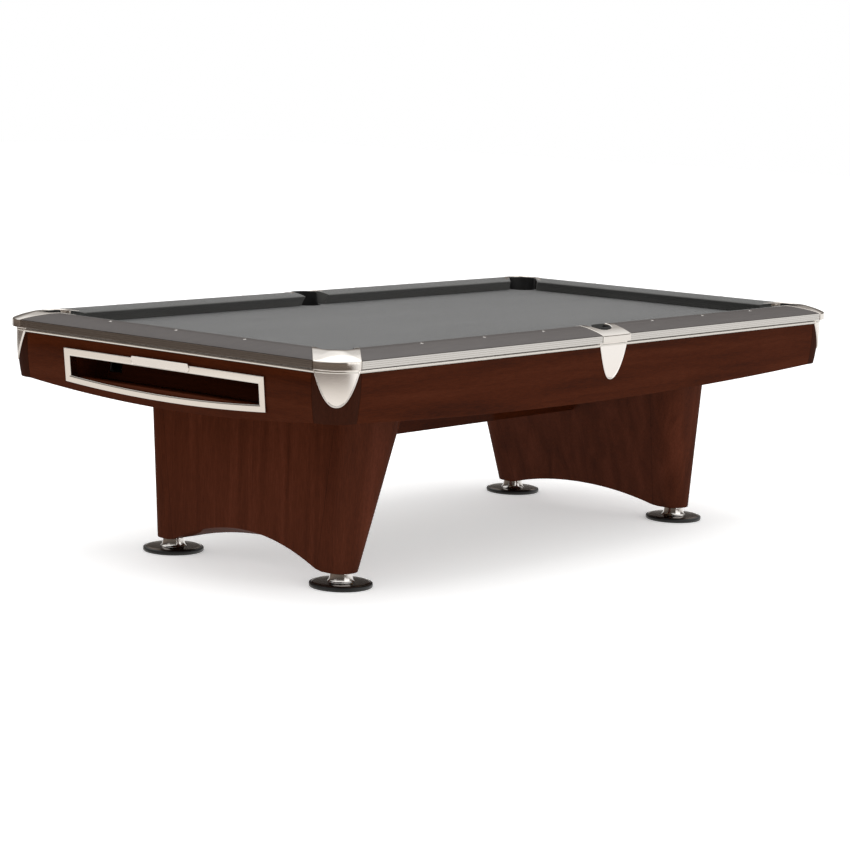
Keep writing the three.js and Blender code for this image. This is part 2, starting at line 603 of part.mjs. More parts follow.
// Open-topped box behind the frame, where the balls collect.
function addBallBox() {
  const { back, wall, floorTop, top, halfWidth: half } = BALL_BOX;
  const front = -(halfLength - APRON_BACK_INSET - GAP);
  const shell = block([front, back + wall], [-half - wall, half + wall], [floorTop - wall, top]);
  const room = block([front - OUTSIDE, back], [-half, half], [floorTop, top + OUTSIDE]);
  const notches = joined([1, -1].map((sy) => notch(sy, [back - OUTSIDE, back + OUTSIDE])));
  addPiece('ball_box', shell.subtract(room).subtract(notches), materials.wood);
}

// Trough that catches the balls under the pockets and rolls them to the ball box. A strip ties
// the cross troughs of the two sides together.
function addTrough() {
  const { middle, innerWidth, wall, height, floorFoot, slope } = TROUGH;
  const { x: crossX, innerWidth: crossWidth, slope: crossSlope, lean } = CROSS_TROUGH;
  const along = ([from, to], rise, extra, depth) => {
    const half = innerWidth / 2 + extra;
    const bar = block([from, to], [middle - half, middle + half], depth);
    return moved(sloping(bar, { x: rise }), 0, 0, floorFoot - rise * crossX);
  };
  const across = ([from, to], extra, depth) => {
    const half = crossWidth / 2 + extra;
    const bar = block([crossX - half, crossX + half], [from, to], depth);
    return moved(sloping(bar, { x: lean, y: crossSlope }), 0, 0, crossFloor(0) - lean * crossX);
  };
  const run = (extra, inset, depth) => joined([
    along([crossX, TROUGH_ENDS.head - inset], slope, extra, depth),
    along([TROUGH_ENDS.foot + inset, crossX], TROUGH_ENDS.footSlope, extra, depth),
    across([NOTCH.y - NOTCH.width / 2 - wall + inset, middle], extra, depth),
  ]);
  const both = (side) => side.add(side.mirror([0, 1, 0]));
  const tie = across([0, NOTCH.y], wall, [-wall, 0]);
  const outside = both(run(wall, 0, [-wall, height]).add(tie));
  const inside = both(run(0, wall, [0, 2 * height]));
  const notches = joined([1, -1].map((sy) => notch(sy, [crossX - crossWidth, crossX])));
  addPiece('ball_trough', outside.subtract(inside).subtract(notches), materials.blackPlastic);
}

// Pocket liners: a sleeve in each pocket, open towards the bed above the cloth.
function sleeve(centre, radius) {
  const inside = cylinder(radius - LINER_WALL, centre, UNDER_RAILS, 40);
  return cylinder(radius, centre, [LINER_BOTTOM, LINER_TOP], 40).subtract(inside);
}

function addLiners() {
  const aboveCloth = [CLOTH_TOP - LINER_LIP, TALL[1]];
  for (const corner of CORNERS) {
    const centre = onDiagonal(corner, CORNER_POCKET_SETBACK, 0);
    const radius = POCKET_RADIUS + 2 * CAP_THROAT;
    const mouth = cylinder(radius, centre, aboveCloth).add(
      upright(onPocket(corner, [0, MOUTH_REACH], radius), aboveCloth),
    );
    const behind = upright(onPocket(corner, [-CORNER_RADIUS, LINER_FRONT], CORNER_CAP_HALF_WIDTH), TALL);
    const liner = sleeve(centre, POCKET_RADIUS - LINER_SLACK).subtract(mouth.subtract(behind));
    addPiece(`pocket_liner_${corner.name}`, liner, materials.blackRubber);
  }
  for (const sy of [1, -1]) {
    const y = sy * (FIELD_WIDTH / 2 + SIDE_POCKET_SETBACK);
    const towardsBed = between(y - sy * LINER_FRONT, y - sy * SIDE_MOUTH_REACH);
    const opening = block([-SIDE_POCKET_RADIUS, SIDE_POCKET_RADIUS], towardsBed, aboveCloth);
    const liner = sleeve([0, y], SIDE_POCKET_RADIUS - LINER_SLACK).subtract(opening);
    addPiece(`pocket_liner_side_${sy > 0 ? 'left' : 'right'}`, liner, materials.blackRubber);
  }
}

// ---- Base ----
// Timber frame that carries the slate on the two pedestals. Low arms reach out to hold the aprons.
function addFrame() {
  const { end, half, longAt, crossAt, armAt, endHalfLength } = FRAME;
  const bottom = PEDESTAL_TOP + GAP;
  const depth = [bottom, frameTop];
  const thick = (middle) => [middle - half, middle + half];
  const reachX = halfLength - APRON_BACK_INSET - GAP;
  const reachY = halfWidth - APRON_BACK_INSET - GAP;
  const lengthways = [-longAt, 0, longAt].map((y) => block([-end, end], thick(y), depth));
  const crossways = [-crossAt, crossAt].map((x) => block(thick(x), [-longAt, longAt], depth));
  const parts = [...lengthways, ...crossways];
  for (const sx of [1, -1]) {
    const endTimber = thick(sx * (end - half));
    parts.push(block(endTimber, [-endHalfLength, endHalfLength], depth));
    parts.push(block(endTimber, [-reachY, reachY], SIDE_ARM));
    for (const y of [armAt, -armAt]) {
      const reach = between(sx * (end - half), sx * reachX);
      parts.push(block(reach, thick(y), [bottom, bottom + END_ARM_DEPTH]));
    }
  }
  const beamTop = bottom + BEAM_TENON;
  const top = PEDESTAL_X - pedestalInner(PEDESTAL_TOP) - BEAM_TO_PEDESTAL;
  const low = PEDESTAL_X - pedestalInner(BEAM_BOTTOM) - BEAM_TO_PEDESTAL;
  const beam = [[-top, beamTop], [-low, BEAM_BOTTOM], [low, BEAM_BOTTOM], [top, beamTop]];
  addPiece('support_frame', joined([...parts, alongY(beam, thick(0))]), materials.hiddenWood);
}

function pedestalInner(z) {
  return PEDESTAL.inner + PEDESTAL.innerLean * (z - PEDESTAL_BOTTOM);
}

// Horizontal section of a pedestal: a rectangle with round corners, outer side at -X.
function pedestalRing(z, perCorner = 7) {
  const rise = z - PEDESTAL_BOTTOM;
  const round = PEDESTAL_ROUND.radius + PEDESTAL_ROUND.lean * rise;
  const y = FOOT_Y + PEDESTAL.end + PEDESTAL.endLean * rise;
  const x0 = -PEDESTAL.outer;
  const x1 = pedestalInner(z);
  const outerRound = Math.min(round, (x1 - x0) / 2);
  const corners = [[x1, y, 0], [x0, y, 90], [x0, -y, 180], [x1, -y, 270]];
  return corners.flatMap(([cx, cy, start]) => steps(perCorner, (t) => {
    const angle = THREE.MathUtils.degToRad(start + 90 * t);
    const px = cx - Math.sign(cx - (x0 + x1) / 2) * outerRound + outerRound * Math.cos(angle);
    const py = cy - Math.sign(cy) * outerRound + outerRound * Math.sin(angle);
    return new THREE.Vector3(px, py, z);
  }));
}

// A closed skin over rings that all have the same number of points.
function loft(rings) {
  const count = rings[0].length;
  const positions = rings.flat().flatMap((p) => [p.x, p.y, p.z]);
  const index = [];
  for (let level = 0; level + 1 < rings.length; level += 1) {
    for (let i = 0; i < count; i += 1) {
      const a = level * count + i;
      const b = level * count + ((i + 1) % count);
      index.push(a, b, b + count, a, b + count, a + count);
    }
  }
  const cap = (ring) => THREE.ShapeUtils.triangulateShape(ring.map((p) => new THREE.Vector2(p.x, p.y)), []);
  const last = (rings.length - 1) * count;
  for (const [a, b, c] of cap(rings[0])) index.push(c, b, a);
  for (const [a, b, c] of cap(rings.at(-1))) index.push(last + a, last + b, last + c);
  const geometry = new THREE.BufferGeometry();
  geometry.setAttribute('position', new THREE.BufferAttribute(new Float32Array(positions), 3));
  geometry.setIndex(index);
  return solid(geometry);
}

// Arched space under a pedestal, lower towards its inner side.
function archSpace() {
  const arc = sagging(ARCH.halfWidth, PEDESTAL_BOTTOM, PEDESTAL_BOTTOM + ARCH.rise, 20);
  const section = [...arc.reverse(), [-ARCH.halfWidth, 0], [ARCH.halfWidth, 0]];
  const [outside, inside] = ARCH_REACH;
  const geometry = extrudedAlongX(section, ARCH_REACH);
  const position = geometry.attributes.position;
  for (let i = 0; i < position.count; i += 1) {
    const inwards = (position.getX(i) - outside) / (inside - outside);
    const share = 1 - (1 - ARCH.innerShare) * inwards;
    const rise = position.getZ(i) - PEDESTAL_BOTTOM;
    if (rise > 0) position.setZ(i, PEDESTAL_BOTTOM + rise * share);
  }
  return solid(geometry);
}

// Open at the top and under the arch, with a blind socket over each foot.
function addPedestals() {
  const { wall, bottom, halfWidth: hollowHalf } = PEDESTAL_HOLLOW;
  const above = PEDESTAL_TOP + OUTSIDE;
  const outer = -PEDESTAL.outer + wall;
  const inner = (z) => pedestalInner(z) - wall;
  const section = [[outer, bottom], [inner(bottom), bottom], [inner(above), above], [outer, above]];
  const hollow = alongY(section, [-hollowHalf, hollowHalf]);
  const sockets = joined([1, -1].map((sy) => (
    cylinder(STEM_RADIUS + SOCKET_CLEARANCE, [0, sy * FOOT_Y], [0, SOCKET_TOP], 24)
  )));
  const skin = loft([PEDESTAL_BOTTOM, PEDESTAL_MIDDLE, PEDESTAL_TOP].map((z) => pedestalRing(z)));
  const pedestal = skin.subtract(archSpace()).subtract(hollow).subtract(sockets);
  addPiece('pedestal_foot', moved(pedestal, -PEDESTAL_X, 0, 0), materials.wood);
  addPiece('pedestal_head', moved(turn(pedestal, 180), PEDESTAL_X, 0, 0), materials.wood);
}

// Levelling feet: a pad on the floor and a chrome collar on a threaded stem.
function addFeet() {
  const base = PAD_THICKNESS + GAP;
  const top = PEDESTAL_BOTTOM - GAP;
  const pad = [[0, 0], ...PAD_PROFILE, [0, PAD_THICKNESS]];
  const flare = COLLAR_PROFILE.map(([radius, rise]) => [radius, base + rise]);
  const stem = [[STEM_RADIUS, top], [STEM_RADIUS, STEM_TOP], [0, STEM_TOP]];
  const collar = [[0, base], ...flare, [COLLAR_TOP_RADIUS, top], ...stem];
  for (const corner of CORNERS) {
    const centre = [corner.sx * PEDESTAL_X, corner.sy * FOOT_Y];
    addPiece(`foot_pad_${corner.name}`, turned(pad, centre, 40), materials.blackRubber);
    addPiece(`foot_screw_${corner.name}`, turned(collar, centre, 32), materials.steel);
  }
}

addBed();
addRails();
addTrims();
addCornerCaps();
addSideCaps();
addAprons();
addCornersOfCabinet();
addBallFrame();
addBallBox();
addTrough();
addLiners();
addFrame();
addPedestals();
addFeet();

export default table;
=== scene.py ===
import math

import bmesh
import bpy
import numpy as np
from mathutils import Matrix, Vector


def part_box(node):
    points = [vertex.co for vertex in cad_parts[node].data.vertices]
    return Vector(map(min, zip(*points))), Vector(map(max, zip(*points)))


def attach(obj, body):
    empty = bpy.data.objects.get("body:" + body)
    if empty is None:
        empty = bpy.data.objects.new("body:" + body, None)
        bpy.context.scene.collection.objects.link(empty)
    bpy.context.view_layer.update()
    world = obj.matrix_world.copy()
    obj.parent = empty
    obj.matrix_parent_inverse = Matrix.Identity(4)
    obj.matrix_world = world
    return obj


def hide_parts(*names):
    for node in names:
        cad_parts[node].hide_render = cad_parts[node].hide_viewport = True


bl_info = {
    "name": "Pool Table",
    "version": (1, 0, 0),
    "blender": (4, 5, 0),
    "location": "View3D > Sidebar > Pool Table",
    "description": "Builds the visible pieces of a nine-foot pool table on its CAD frame",
    "category": "Object",
}

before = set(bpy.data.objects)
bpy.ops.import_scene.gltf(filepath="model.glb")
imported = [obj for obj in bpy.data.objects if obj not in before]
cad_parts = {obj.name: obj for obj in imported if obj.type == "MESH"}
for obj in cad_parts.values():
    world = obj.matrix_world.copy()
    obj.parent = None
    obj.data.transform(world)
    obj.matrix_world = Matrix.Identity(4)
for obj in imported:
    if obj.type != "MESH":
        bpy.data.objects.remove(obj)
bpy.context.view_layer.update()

# Shape code works in millimetres on the CAD axes, and Shape.to_object turns it to metres.
MM = 0.001


def box_mm(node):
    low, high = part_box(node)
    return np.array(low) / MM, np.array(high) / MM


# ---- Sizes read from the frame, in millimetres ----
HALF_LENGTH = box_mm("trim_head")[1][0]
HALF_WIDTH = box_mm("trim_left")[1][1]
CLOTH_HIGH = box_mm("bed_cloth")[1]
PEDESTAL_HIGH = box_mm("pedestal_head")[1]
PAD_LOW, PAD_HIGH = box_mm("foot_pad_head_left")

# ---- Sizes of the pattern, in millimetres ----
CORNER_RADIUS = 110.0
RAIL_WIDTH = 164.0
CREST = 99.0  # from the outside of the trim to the cloth
CLOTH_TOP = CLOTH_HIGH[2]
TRIM_BOTTOM = 797.3
TRIM_TOP = 822.3
TRIM_THICKNESS = 3.2
RAIL_TOP = [(0, 822.5), (14, 828.5), (29, 834.0), (58, 842.3), (78, 847.2), (99, 849.4)]
NOSE = (164, 838.6)
CORNER_SETBACK = 203.0
POCKET_RADIUS = 57.0
CORNER_HALF = 75.7
CORNER_REACH = 269.0
CORNER_MIDDLE = CORNER_RADIUS * math.sqrt(2)  # from the square corner to the round one's centre
HORN = 37.0
SIDE_SETBACK = 62.0
SIDE_RADIUS = 60.0
SIDE_CAP_START = 49.0  # from the side cushions' noses out to the cap's inner end
SIDE_CAP_DEPTH = RAIL_WIDTH - SIDE_CAP_START
SIDE_CAP_HALF = 88.0
SIDE_CAP_TAPER = 7.0
SIDE_POCKET_OUT = HALF_WIDTH - RAIL_WIDTH + SIDE_SETBACK
CAP_BOTTOM = 801.6
CAP_PROUD = 1.2  # how far the castings stand above the rails and out from the trim
CAP_SKIRT = 55.0  # how far in from the outline a casting reaches down to the trim's bottom
CAP_RIM = 0.9
APRON_TOP = 781.0
APRON_BACK = 56.0
APRON_CORNER_BOTTOM = 622.0
BALL_OPENING_HALF = 450
FOOT_TO_FACE = 60.0  # from a levelling foot's axis to the pedestal's outer face
PLANE_X = PEDESTAL_HIGH[0] - FOOT_TO_FACE
FOOT_Y = (PAD_LOW[1] + PAD_HIGH[1]) / 2
PEDESTAL_BOTTOM = 51.0
PEDESTAL_TOP = 604.7
PEDESTAL_LEAN = 0.297  # how far the inner face leans in for each millimetre up

# Each side is shaped as if it were the left one, then turned about the middle of the table.
TURNS = {"left": 0, "foot": 90, "right": 180, "head": 270}
CORNERS = {
    "foot_left": (-1, 1),
    "foot_right": (-1, -1),
    "head_left": (1, 1),
    "head_right": (1, -1),
}


def outer_face(side):
    """From the middle of the table out to a side."""
    return HALF_WIDTH if side in ("left", "right") else HALF_LENGTH


def reach(side):
    """From the middle of a side along to the square corner."""
    return HALF_LENGTH if side in ("left", "right") else HALF_WIDTH


def on_side(side, along, inwards, z):
    """A point on a side, from its place along the side and its distance in from the trim."""
    turn = math.radians(TURNS[side])
    x, y = along, outer_face(side) - inwards
    cos, sin = math.cos(turn), math.sin(turn)
    return (x * cos - y * sin, x * sin + y * cos, z)


def on_diagonal(corner, along, across, z):
    """A point near a corner, from its place along and across the corner's diagonal."""
    sx, sy = CORNERS[corner]
    x = sx * (HALF_LENGTH - (along + across) / math.sqrt(2))
    y = sy * (HALF_WIDTH - (along - across) / math.sqrt(2))
    return (x, y, z)


def inwards_of(x, y):
    """Distance in from the rounded outline of the rails."""
    dx, dy = HALF_LENGTH - abs(x), HALF_WIDTH - abs(y)
    if dx < CORNER_RADIUS and dy < CORNER_RADIUS:
        return CORNER_RADIUS - math.hypot(CORNER_RADIUS - dx, CORNER_RADIUS - dy)
    return min(dx, dy)


def smooth_curve(points, at):
    """A smooth line through points, read at one place."""
    xs = np.array([p[0] for p in points], float)
    ys = np.array([p[1] for p in points], float)
    slopes = np.gradient(ys, xs)
    i = int(np.clip(np.searchsorted(xs, at) - 1, 0, len(xs) - 2))
    width = xs[i + 1] - xs[i]
    t = (at - xs[i]) / width
    if t < 0:
        return ys[0] + slopes[0] * (at - xs[0])
    a = (1 + 2 * t) * (1 - t) ** 2 * ys[i] + t * (1 - t) ** 2 * width * slopes[i]
    b = t * t * (3 - 2 * t) * ys[i + 1] + t * t * (t - 1) * width * slopes[i + 1]
    return a + b


def rail_height(inwards):
    """Height of the rail's top, and of the cushion's beyond the crest."""
    if inwards <= CREST:
        return smooth_curve(RAIL_TOP, inwards)
    share = (inwards - CREST) / (NOSE[0] - CREST)
    return RAIL_TOP[-1][1] + (NOSE[1] - RAIL_TOP[-1][1]) * share


def apron_inset(z):
    """How far the cabinet's face is in from the outside of the trim."""
    top, curve_height, curve_depth = 782, 160, 15
    down = max(0.0, (top - z) / curve_height)
    return 17 + curve_depth * down**2.2


class Shape:
    """Points and faces of one piece, in millimetres."""

    def __init__(self):
        self.points = []
        self.faces = []

    def grid(self, rows, wrap_rows=False, wrap_columns=False, skip=()):
        """Quads over rows of points. skip holds (row, column) pairs that stay open."""
        rows = np.asarray(rows, float)
        start = len(self.points)
        height, width = rows.shape[:2]
        self.points.extend(map(tuple, rows.reshape(-1, 3)))
        for r in range(height if wrap_rows else height - 1):
            for c in range(width if wrap_columns else width - 1):
                if (r, c) in skip:
                    continue
                here, right = start + r * width, start + (r + 1) % height * width
                nxt = (c + 1) % width
                self.faces.append((here + c, here + nxt, right + nxt, right + c))
        return self

    def face(self, loop):
        """One flat face round a loop of points."""
        start = len(self.points)
        self.points.extend(map(tuple, loop))
        self.faces.append(tuple(range(start, start + len(loop))))
        return self

    def to_object(self, name, material, bevel=0.0, sharp=38, segments=2):
        """The piece as an object at the origin. bevel is in millimetres."""
        mesh = bpy.data.meshes.new(name)
        mesh.from_pydata([tuple(v * MM for v in p) for p in self.points], [], self.faces)
        tidy = bmesh.new()
        tidy.from_mesh(mesh)
        bmesh.ops.remove_doubles(tidy, verts=tidy.verts, dist=2e-6)
        bmesh.ops.dissolve_degenerate(tidy, edges=tidy.edges, dist=1e-6)
        bmesh.ops.recalc_face_normals(tidy, faces=tidy.faces)
        tidy.to_mesh(mesh)
        tidy.free()
        mesh.shade_smooth()
        mesh.materials.append(material)
        piece = bpy.data.objects.new(name, mesh)
        bpy.context.scene.collection.objects.link(piece)
        if bevel:
            edge = piece.modifiers.new("Rounded edges", "BEVEL")
            edge.width = bevel * MM
            edge.segments = segments
            edge.limit_method = "ANGLE"
            edge.angle_limit = math.radians(sharp)
            edge.harden_normals = True
        else:
            mesh.set_sharp_from_angle(angle=math.radians(sharp))
        return piece


def settle(piece, body, slot, *nodes):
    """Hangs a finished piece on the body it rides on and hides the nodes it stands for. slot, what it
    is made of, is not used.
    """
    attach(piece, body)
    if nodes:
        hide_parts(*nodes)
    return piece


def turned(profile, centre, count=96):
    """A closed skin round a vertical axis, from (radius, z) points that end on the axis."""
    rows = []
    for radius, z in profile:
        ring = []
        for i in range(count):
            angle = math.tau * i / count
            x, y = centre[0] + radius * math.cos(angle), centre[1] + radius * math.sin(angle)
            ring.append((x, y, z))
        rows.append(ring)
    return Shape().grid(rows, wrap_columns=True)


# ---- Materials ----
def linear(code):
    """An sRGB hex colour as linear RGBA."""
    parts = [int(code[i : i + 2], 16) / 255 for i in (1, 3, 5)]
    return (*[p / 12.92 if p <= 0.04045 else ((p + 0.055) / 1.055) ** 2.4 for p in parts], 1.0)


def node(tree, kind, links=(), **settings):
    """Adds a node, sets its properties and inputs, and links its inputs.

    settings names a property of the node, or an input written with underscores for spaces.
    links pairs an input's name or number with the output that feeds it."""
    made = tree.nodes.new(kind)
    for key, value in settings.items():
        if hasattr(made, key) and not key[0].isupper():
            setattr(made, key, value)
        else:
            made.inputs[key.replace("_", " ")].default_value = value
    for key, output in links:
        tree.links.new(output, made.inputs[key])
    return made


def new_material(name, base, metallic=0.0, roughness=0.5, **settings):
    """A material with a Principled shader whose uniform values are set on its own sockets."""
    material = bpy.data.materials.new(name)
    material.use_nodes = True
    tree = material.node_tree
    shader = tree.nodes["Principled BSDF"]
    shader.inputs["Base Color"].default_value = linear(base)
    shader.inputs["Metallic"].default_value = metallic
    shader.inputs["Roughness"].default_value = roughness
    for key, value in settings.items():
        shader.inputs[key.replace("_", " ")].default_value = value
    place = node(tree, "ShaderNodeTexCoord").outputs["Object"]
    return material, tree, shader, place


def calc(tree, operation, *terms):
    """The output of a Math node, from terms that are outputs or numbers."""
    made = node(tree, "ShaderNodeMath", operation=operation)
    for socket, term in zip(made.inputs, terms):
        if isinstance(term, (int, float)):
            socket.default_value = term
        else:
            tree.links.new(term, socket)
    return made.outputs[0]


def noise(tree, place, scale, detail, **settings):
    """Noise between 0 and 1 on the points that place gives."""
    links = [("Vector", place)]
    made = node(tree, "ShaderNodeTexNoise", links, Scale=scale, Detail=detail, **settings)
    return made.outputs["Fac"]


def axis_of(tree, place, axis):
    """One coordinate of the points that place gives."""
    return node(tree, "ShaderNodeSeparateXYZ", [("Vector", place)]).outputs[axis]


def ramp(tree, factor, stops):
    """A colour ramp from (position, hex) stops."""
    made = node(tree, "ShaderNodeValToRGB", [("Fac", factor)])
    band = made.color_ramp
    while len(band.elements) < len(stops):
        band.elements.new(0.5)
    for element, (position, code) in zip(band.elements, stops):
        element.position = position
        element.color = linear(code)
    return made.outputs["Color"]


def bump(tree, shader, height, distance, strength=1.0):
    """Raises the surface where height is high. distance is in metres."""
    links = [("Height", height)]
    made = node(tree, "ShaderNodeBump", links, Distance=distance, Strength=strength)
    tree.links.new(made.outputs["Normal"], shader.inputs["Normal"])


def mapped(tree, place, scale):
    """Coordinates drawn closer together along each axis by scale."""
    return node(tree, "ShaderNodeMapping", [("Vector", place)], Scale=scale).outputs["Vector"]


def varied(tree, source, low, high, shader):
    """Lets the roughness run between two values with a pattern."""
    made = node(tree, "ShaderNodeMapRange", [("Value", source)], To_Min=low, To_Max=high)
    tree.links.new(made.outputs["Result"], shader.inputs["Roughness"])


def worsted_cloth(name, shades, nap):
    """Napless worsted wool: fine twill threads, a little lint, and a soft sheen at grazing angles.
    The real threads are 0.4 mm apart; they are drawn coarser so that they show."""
    material, tree, shader, place = new_material(
        name, shades[1], roughness=0.93, Sheen_Weight=0.22, Sheen_Roughness=0.45,
        Specular_IOR_Level=0.2,
    )
    twill = node(
        tree, "ShaderNodeTexWave", [("Vector", place)], wave_type="BANDS",
        bands_direction="DIAGONAL", Scale=450.0, Distortion=0.6, Detail=2.0,
    ).outputs["Fac"]
    lint = noise(tree, place, 520.0, 5.0)
    brushed = noise(tree, mapped(tree, place, (0.8, 3.0, 3.0)), 2.2, 4.0)
    half = calc(tree, "MULTIPLY", calc(tree, "ADD", lint, brushed), 0.5)
    colour = ramp(tree, half, [(0.36, shades[0]), (0.5, shades[1]), (0.64, shades[2])])
    tree.links.new(colour, shader.inputs["Base Color"])
    bump(tree, shader, calc(tree, "ADD", twill, lint), nap, 0.6)
    return material


# Scale along and across the grain, by the grain's axis.
GRAIN_STRETCH = {"x": (1.0, 14.0, 14.0), "y": (14.0, 1.0, 14.0), "z": (14.0, 14.0, 1.0)}
SEAM_SHADE = "#150a07"


def veneer(name, along, shades, seams=()):
    """Dark-stained mahogany veneer under satin lacquer: straight fine grain with darker pores,
    broad figure along the grain, and a thin clear coat."""
    material, tree, shader, place = new_material(
        name, shades[1], roughness=0.4, Coat_Weight=0.06, Coat_Roughness=0.07,
        Specular_IOR_Level=0.0,
    )
    grain_place = mapped(tree, place, GRAIN_STRETCH[along])
    figure = noise(tree, grain_place, 1.3, 5.0, Roughness=0.55, Distortion=0.5)
    fine = noise(tree, mapped(tree, grain_place, (1.6, 1.6, 1.6)), 17.0, 6.0, Roughness=0.62)
    pores = noise(tree, mapped(tree, grain_place, (3.0, 3.0, 3.0)), 30.0, 2.0)
    blend = node(tree, "ShaderNodeMix", [("A", figure), ("B", fine)], data_type="FLOAT", Factor=0.45)
    stops = [(0.3, shades[0]), (0.5, shades[1]), (0.72, shades[2])]
    colour = ramp(tree, blend.outputs["Result"], stops)
    pore_mask = node(
        tree, "ShaderNodeMapRange", [("Value", pores)], From_Min=0.6, From_Max=0.72, To_Max=0.6
    ).outputs["Result"]
    height = pores
    marks = [(pore_mask, shades[0])]
    for seam in seams:
        mask = seam(tree, place)
        marks.append((mask, SEAM_SHADE))
        height = calc(tree, "SUBTRACT", height, mask)
    for mask, shade in marks:
        links = [("Factor", mask), ("A", colour)]
        colour = node(tree, "ShaderNodeMix", links, data_type="RGBA", B=linear(shade)).outputs["Result"]
    tree.links.new(colour, shader.inputs["Base Color"])
    bump(tree, shader, height, 0.00012, 0.5)
    varied(tree, fine, 0.36, 0.52, shader)
    return material


def seam_mask(tree, distance, width, strength):
    """A mask that is strength on a line and fades out over width, in metres."""
    gap = calc(tree, "ABSOLUTE", distance)
    links = [("Value", gap)]
    near = node(tree, "ShaderNodeMapRange", links, From_Max=width, To_Min=strength, To_Max=0.0)
    return near.outputs["Result"]


def line_seam(axis, base, lean=0.0, width=0.0011):
    """A dark joint line where the distance from the middle along axis is base + lean * height, in
    metres."""

    def build(tree, place):
        away = calc(tree, "ABSOLUTE", axis_of(tree, place, axis))
        leaned = calc(tree, "MULTIPLY_ADD", axis_of(tree, place, "Z"), lean, base)
        return seam_mask(tree, calc(tree, "SUBTRACT", away, leaned), width, 0.9)

    return build


def plain_seam(axis, place_at, width=0.0009):
    """A faint joint between two leaves of veneer at one place along an axis, in metres."""

    def build(tree, place):
        gap = calc(tree, "SUBTRACT", axis_of(tree, place, axis), place_at)
        return seam_mask(tree, gap, width, 0.5)

    return build


def cast_metal(name, shade, low, high, grit=900.0, depth=0.00004):
    """Zinc die casting, satin nickel plated: a fine even tooth left by blasting under the plating,
    which spreads the highlights, and faint cloudy handling marks."""
    middle = (low + high) / 2
    material, tree, shader, place = new_material(name, shade, metallic=1.0, roughness=middle)
    varied(tree, noise(tree, place, 14.0, 4.0), low, high, shader)
    bump(tree, shader, noise(tree, place, grit, 3.0), depth, 0.35)
    return material


# Heights in metres of the trim's drawing grooves, where dark lines are painted as the shadow inside
# them; the bar itself is flat.
TRIM_GROOVE_SHADOWS = (0.8042, 0.8107, 0.8172)
GROOVE_SHADOW_HALF_WIDTH = 0.0003
GROOVE_SHADOW_COLOUR = "#6e655c"
FACE_TONE = 0.5  # how far the whole face is toned towards the painted groove shadows' colour, which darkens it evenly
# Scale along and across a drawn bar, by the bar's axis.
DRAWN_STRETCH = {"x": (2.0, 900.0, 900.0), "y": (900.0, 2.0, 900.0)}


def drawn_metal(name, shade, axis, low, high, groove_shadows=()):
    """Extruded metal, brushed lengthways and anodised or plated: fine lines along the bar, and dark
    lines painted at the drawing grooves' heights as the shadow inside grooves that are not modelled."""
    middle = (low + high) / 2
    material, tree, shader, place = new_material(name, shade, metallic=1.0, roughness=middle)
    lines = noise(tree, mapped(tree, place, DRAWN_STRETCH[axis]), 1.0, 2.0)
    varied(tree, lines, low, high, shader)
    bump(tree, shader, lines, 0.000008, 0.3)
    if groove_shadows:
        # Painted shadow: dark lines at the grooves' heights stand in for the shade inside the grooves.
        height = axis_of(tree, place, "Z")
        dark = FACE_TONE
        for at in groove_shadows:
            groove_shadow = calc(tree, "COMPARE", height, at, GROOVE_SHADOW_HALF_WIDTH)
            dark = calc(tree, "MAXIMUM", groove_shadow, dark)
        colour = ramp(tree, dark, [(0.0, shade), (1.0, GROOVE_SHADOW_COLOUR)])
        tree.links.new(colour, shader.inputs["Base Color"])
    return material


def laminate_sheet(name):
    """High-pressure laminate, pressed with a satin face: a printed close grain in brown-grey."""
    material, tree, shader, place = new_material(
        name, "#3f3937", roughness=0.36, Coat_Weight=0.05, Coat_Roughness=0.2,
        Specular_IOR_Level=0.2,
    )
    grain = noise(tree, mapped(tree, place, (3.0, 30.0, 30.0)), 3.0, 7.0, Roughness=0.65)
    colour = ramp(tree, grain, [(0.3, "#383230"), (0.5, "#3f3937"), (0.7, "#48423f")])
    tree.links.new(colour, shader.inputs["Base Color"])
    varied(tree, grain, 0.32, 0.44, shader)
    bump(tree, shader, noise(tree, place, 1400.0, 2.0), 0.00003, 0.3)
    return material


def moulded_rubber(name, shade, roughness):
    """Black rubber from an etched mould: a fine matt grain with dusty patches."""
    material, tree, shader, place = new_material(
        name, shade, roughness=roughness, Specular_IOR_Level=0.4
    )
    dust = noise(tree, place, 18.0, 5.0)
    varied(tree, dust, roughness - 0.08, roughness + 0.1, shader)
    colour = ramp(tree, dust, [(0.35, shade), (0.75, "#232323")])
    tree.links.new(colour, shader.inputs["Base Color"])
    bump(tree, shader, noise(tree, place, 700.0, 3.0), 0.00006, 0.4)
    return material


def honed_slate(name):
    """Quarried slate, sawn and ground flat: grey with darker beds and a chalky face."""
    material, tree, shader, place = new_material(name, "#4b4f54", roughness=0.85)
    beds = noise(tree, mapped(tree, place, (1.0, 1.0, 12.0)), 9.0, 8.0)
    colour = ramp(tree, beds, [(0.3, "#3c4045"), (0.55, "#4e5257"), (0.75, "#60646a")])
    tree.links.new(colour, shader.inputs["Base Color"])
    bump(tree, shader, beds, 0.0003, 0.5)
    return material


def planed_timber(name):
    """Planed spruce, unfinished: pale with narrow darker growth rings along the timber."""
    material, tree, shader, place = new_material(name, "#a07f58", roughness=0.72)
    rings = node(
        tree, "ShaderNodeTexWave", [("Vector", mapped(tree, place, (0.6, 9.0, 9.0)))],
        wave_type="RINGS", rings_direction="X", Scale=9.0, Distortion=4.0, Detail=3.0,
    ).outputs["Fac"]
    colour = ramp(tree, rings, [(0.1, "#8a6a45"), (0.55, "#a88760"), (0.95, "#b99a72")])
    tree.links.new(colour, shader.inputs["Base Color"])
    bump(tree, shader, rings, 0.0002, 0.4)
    return material


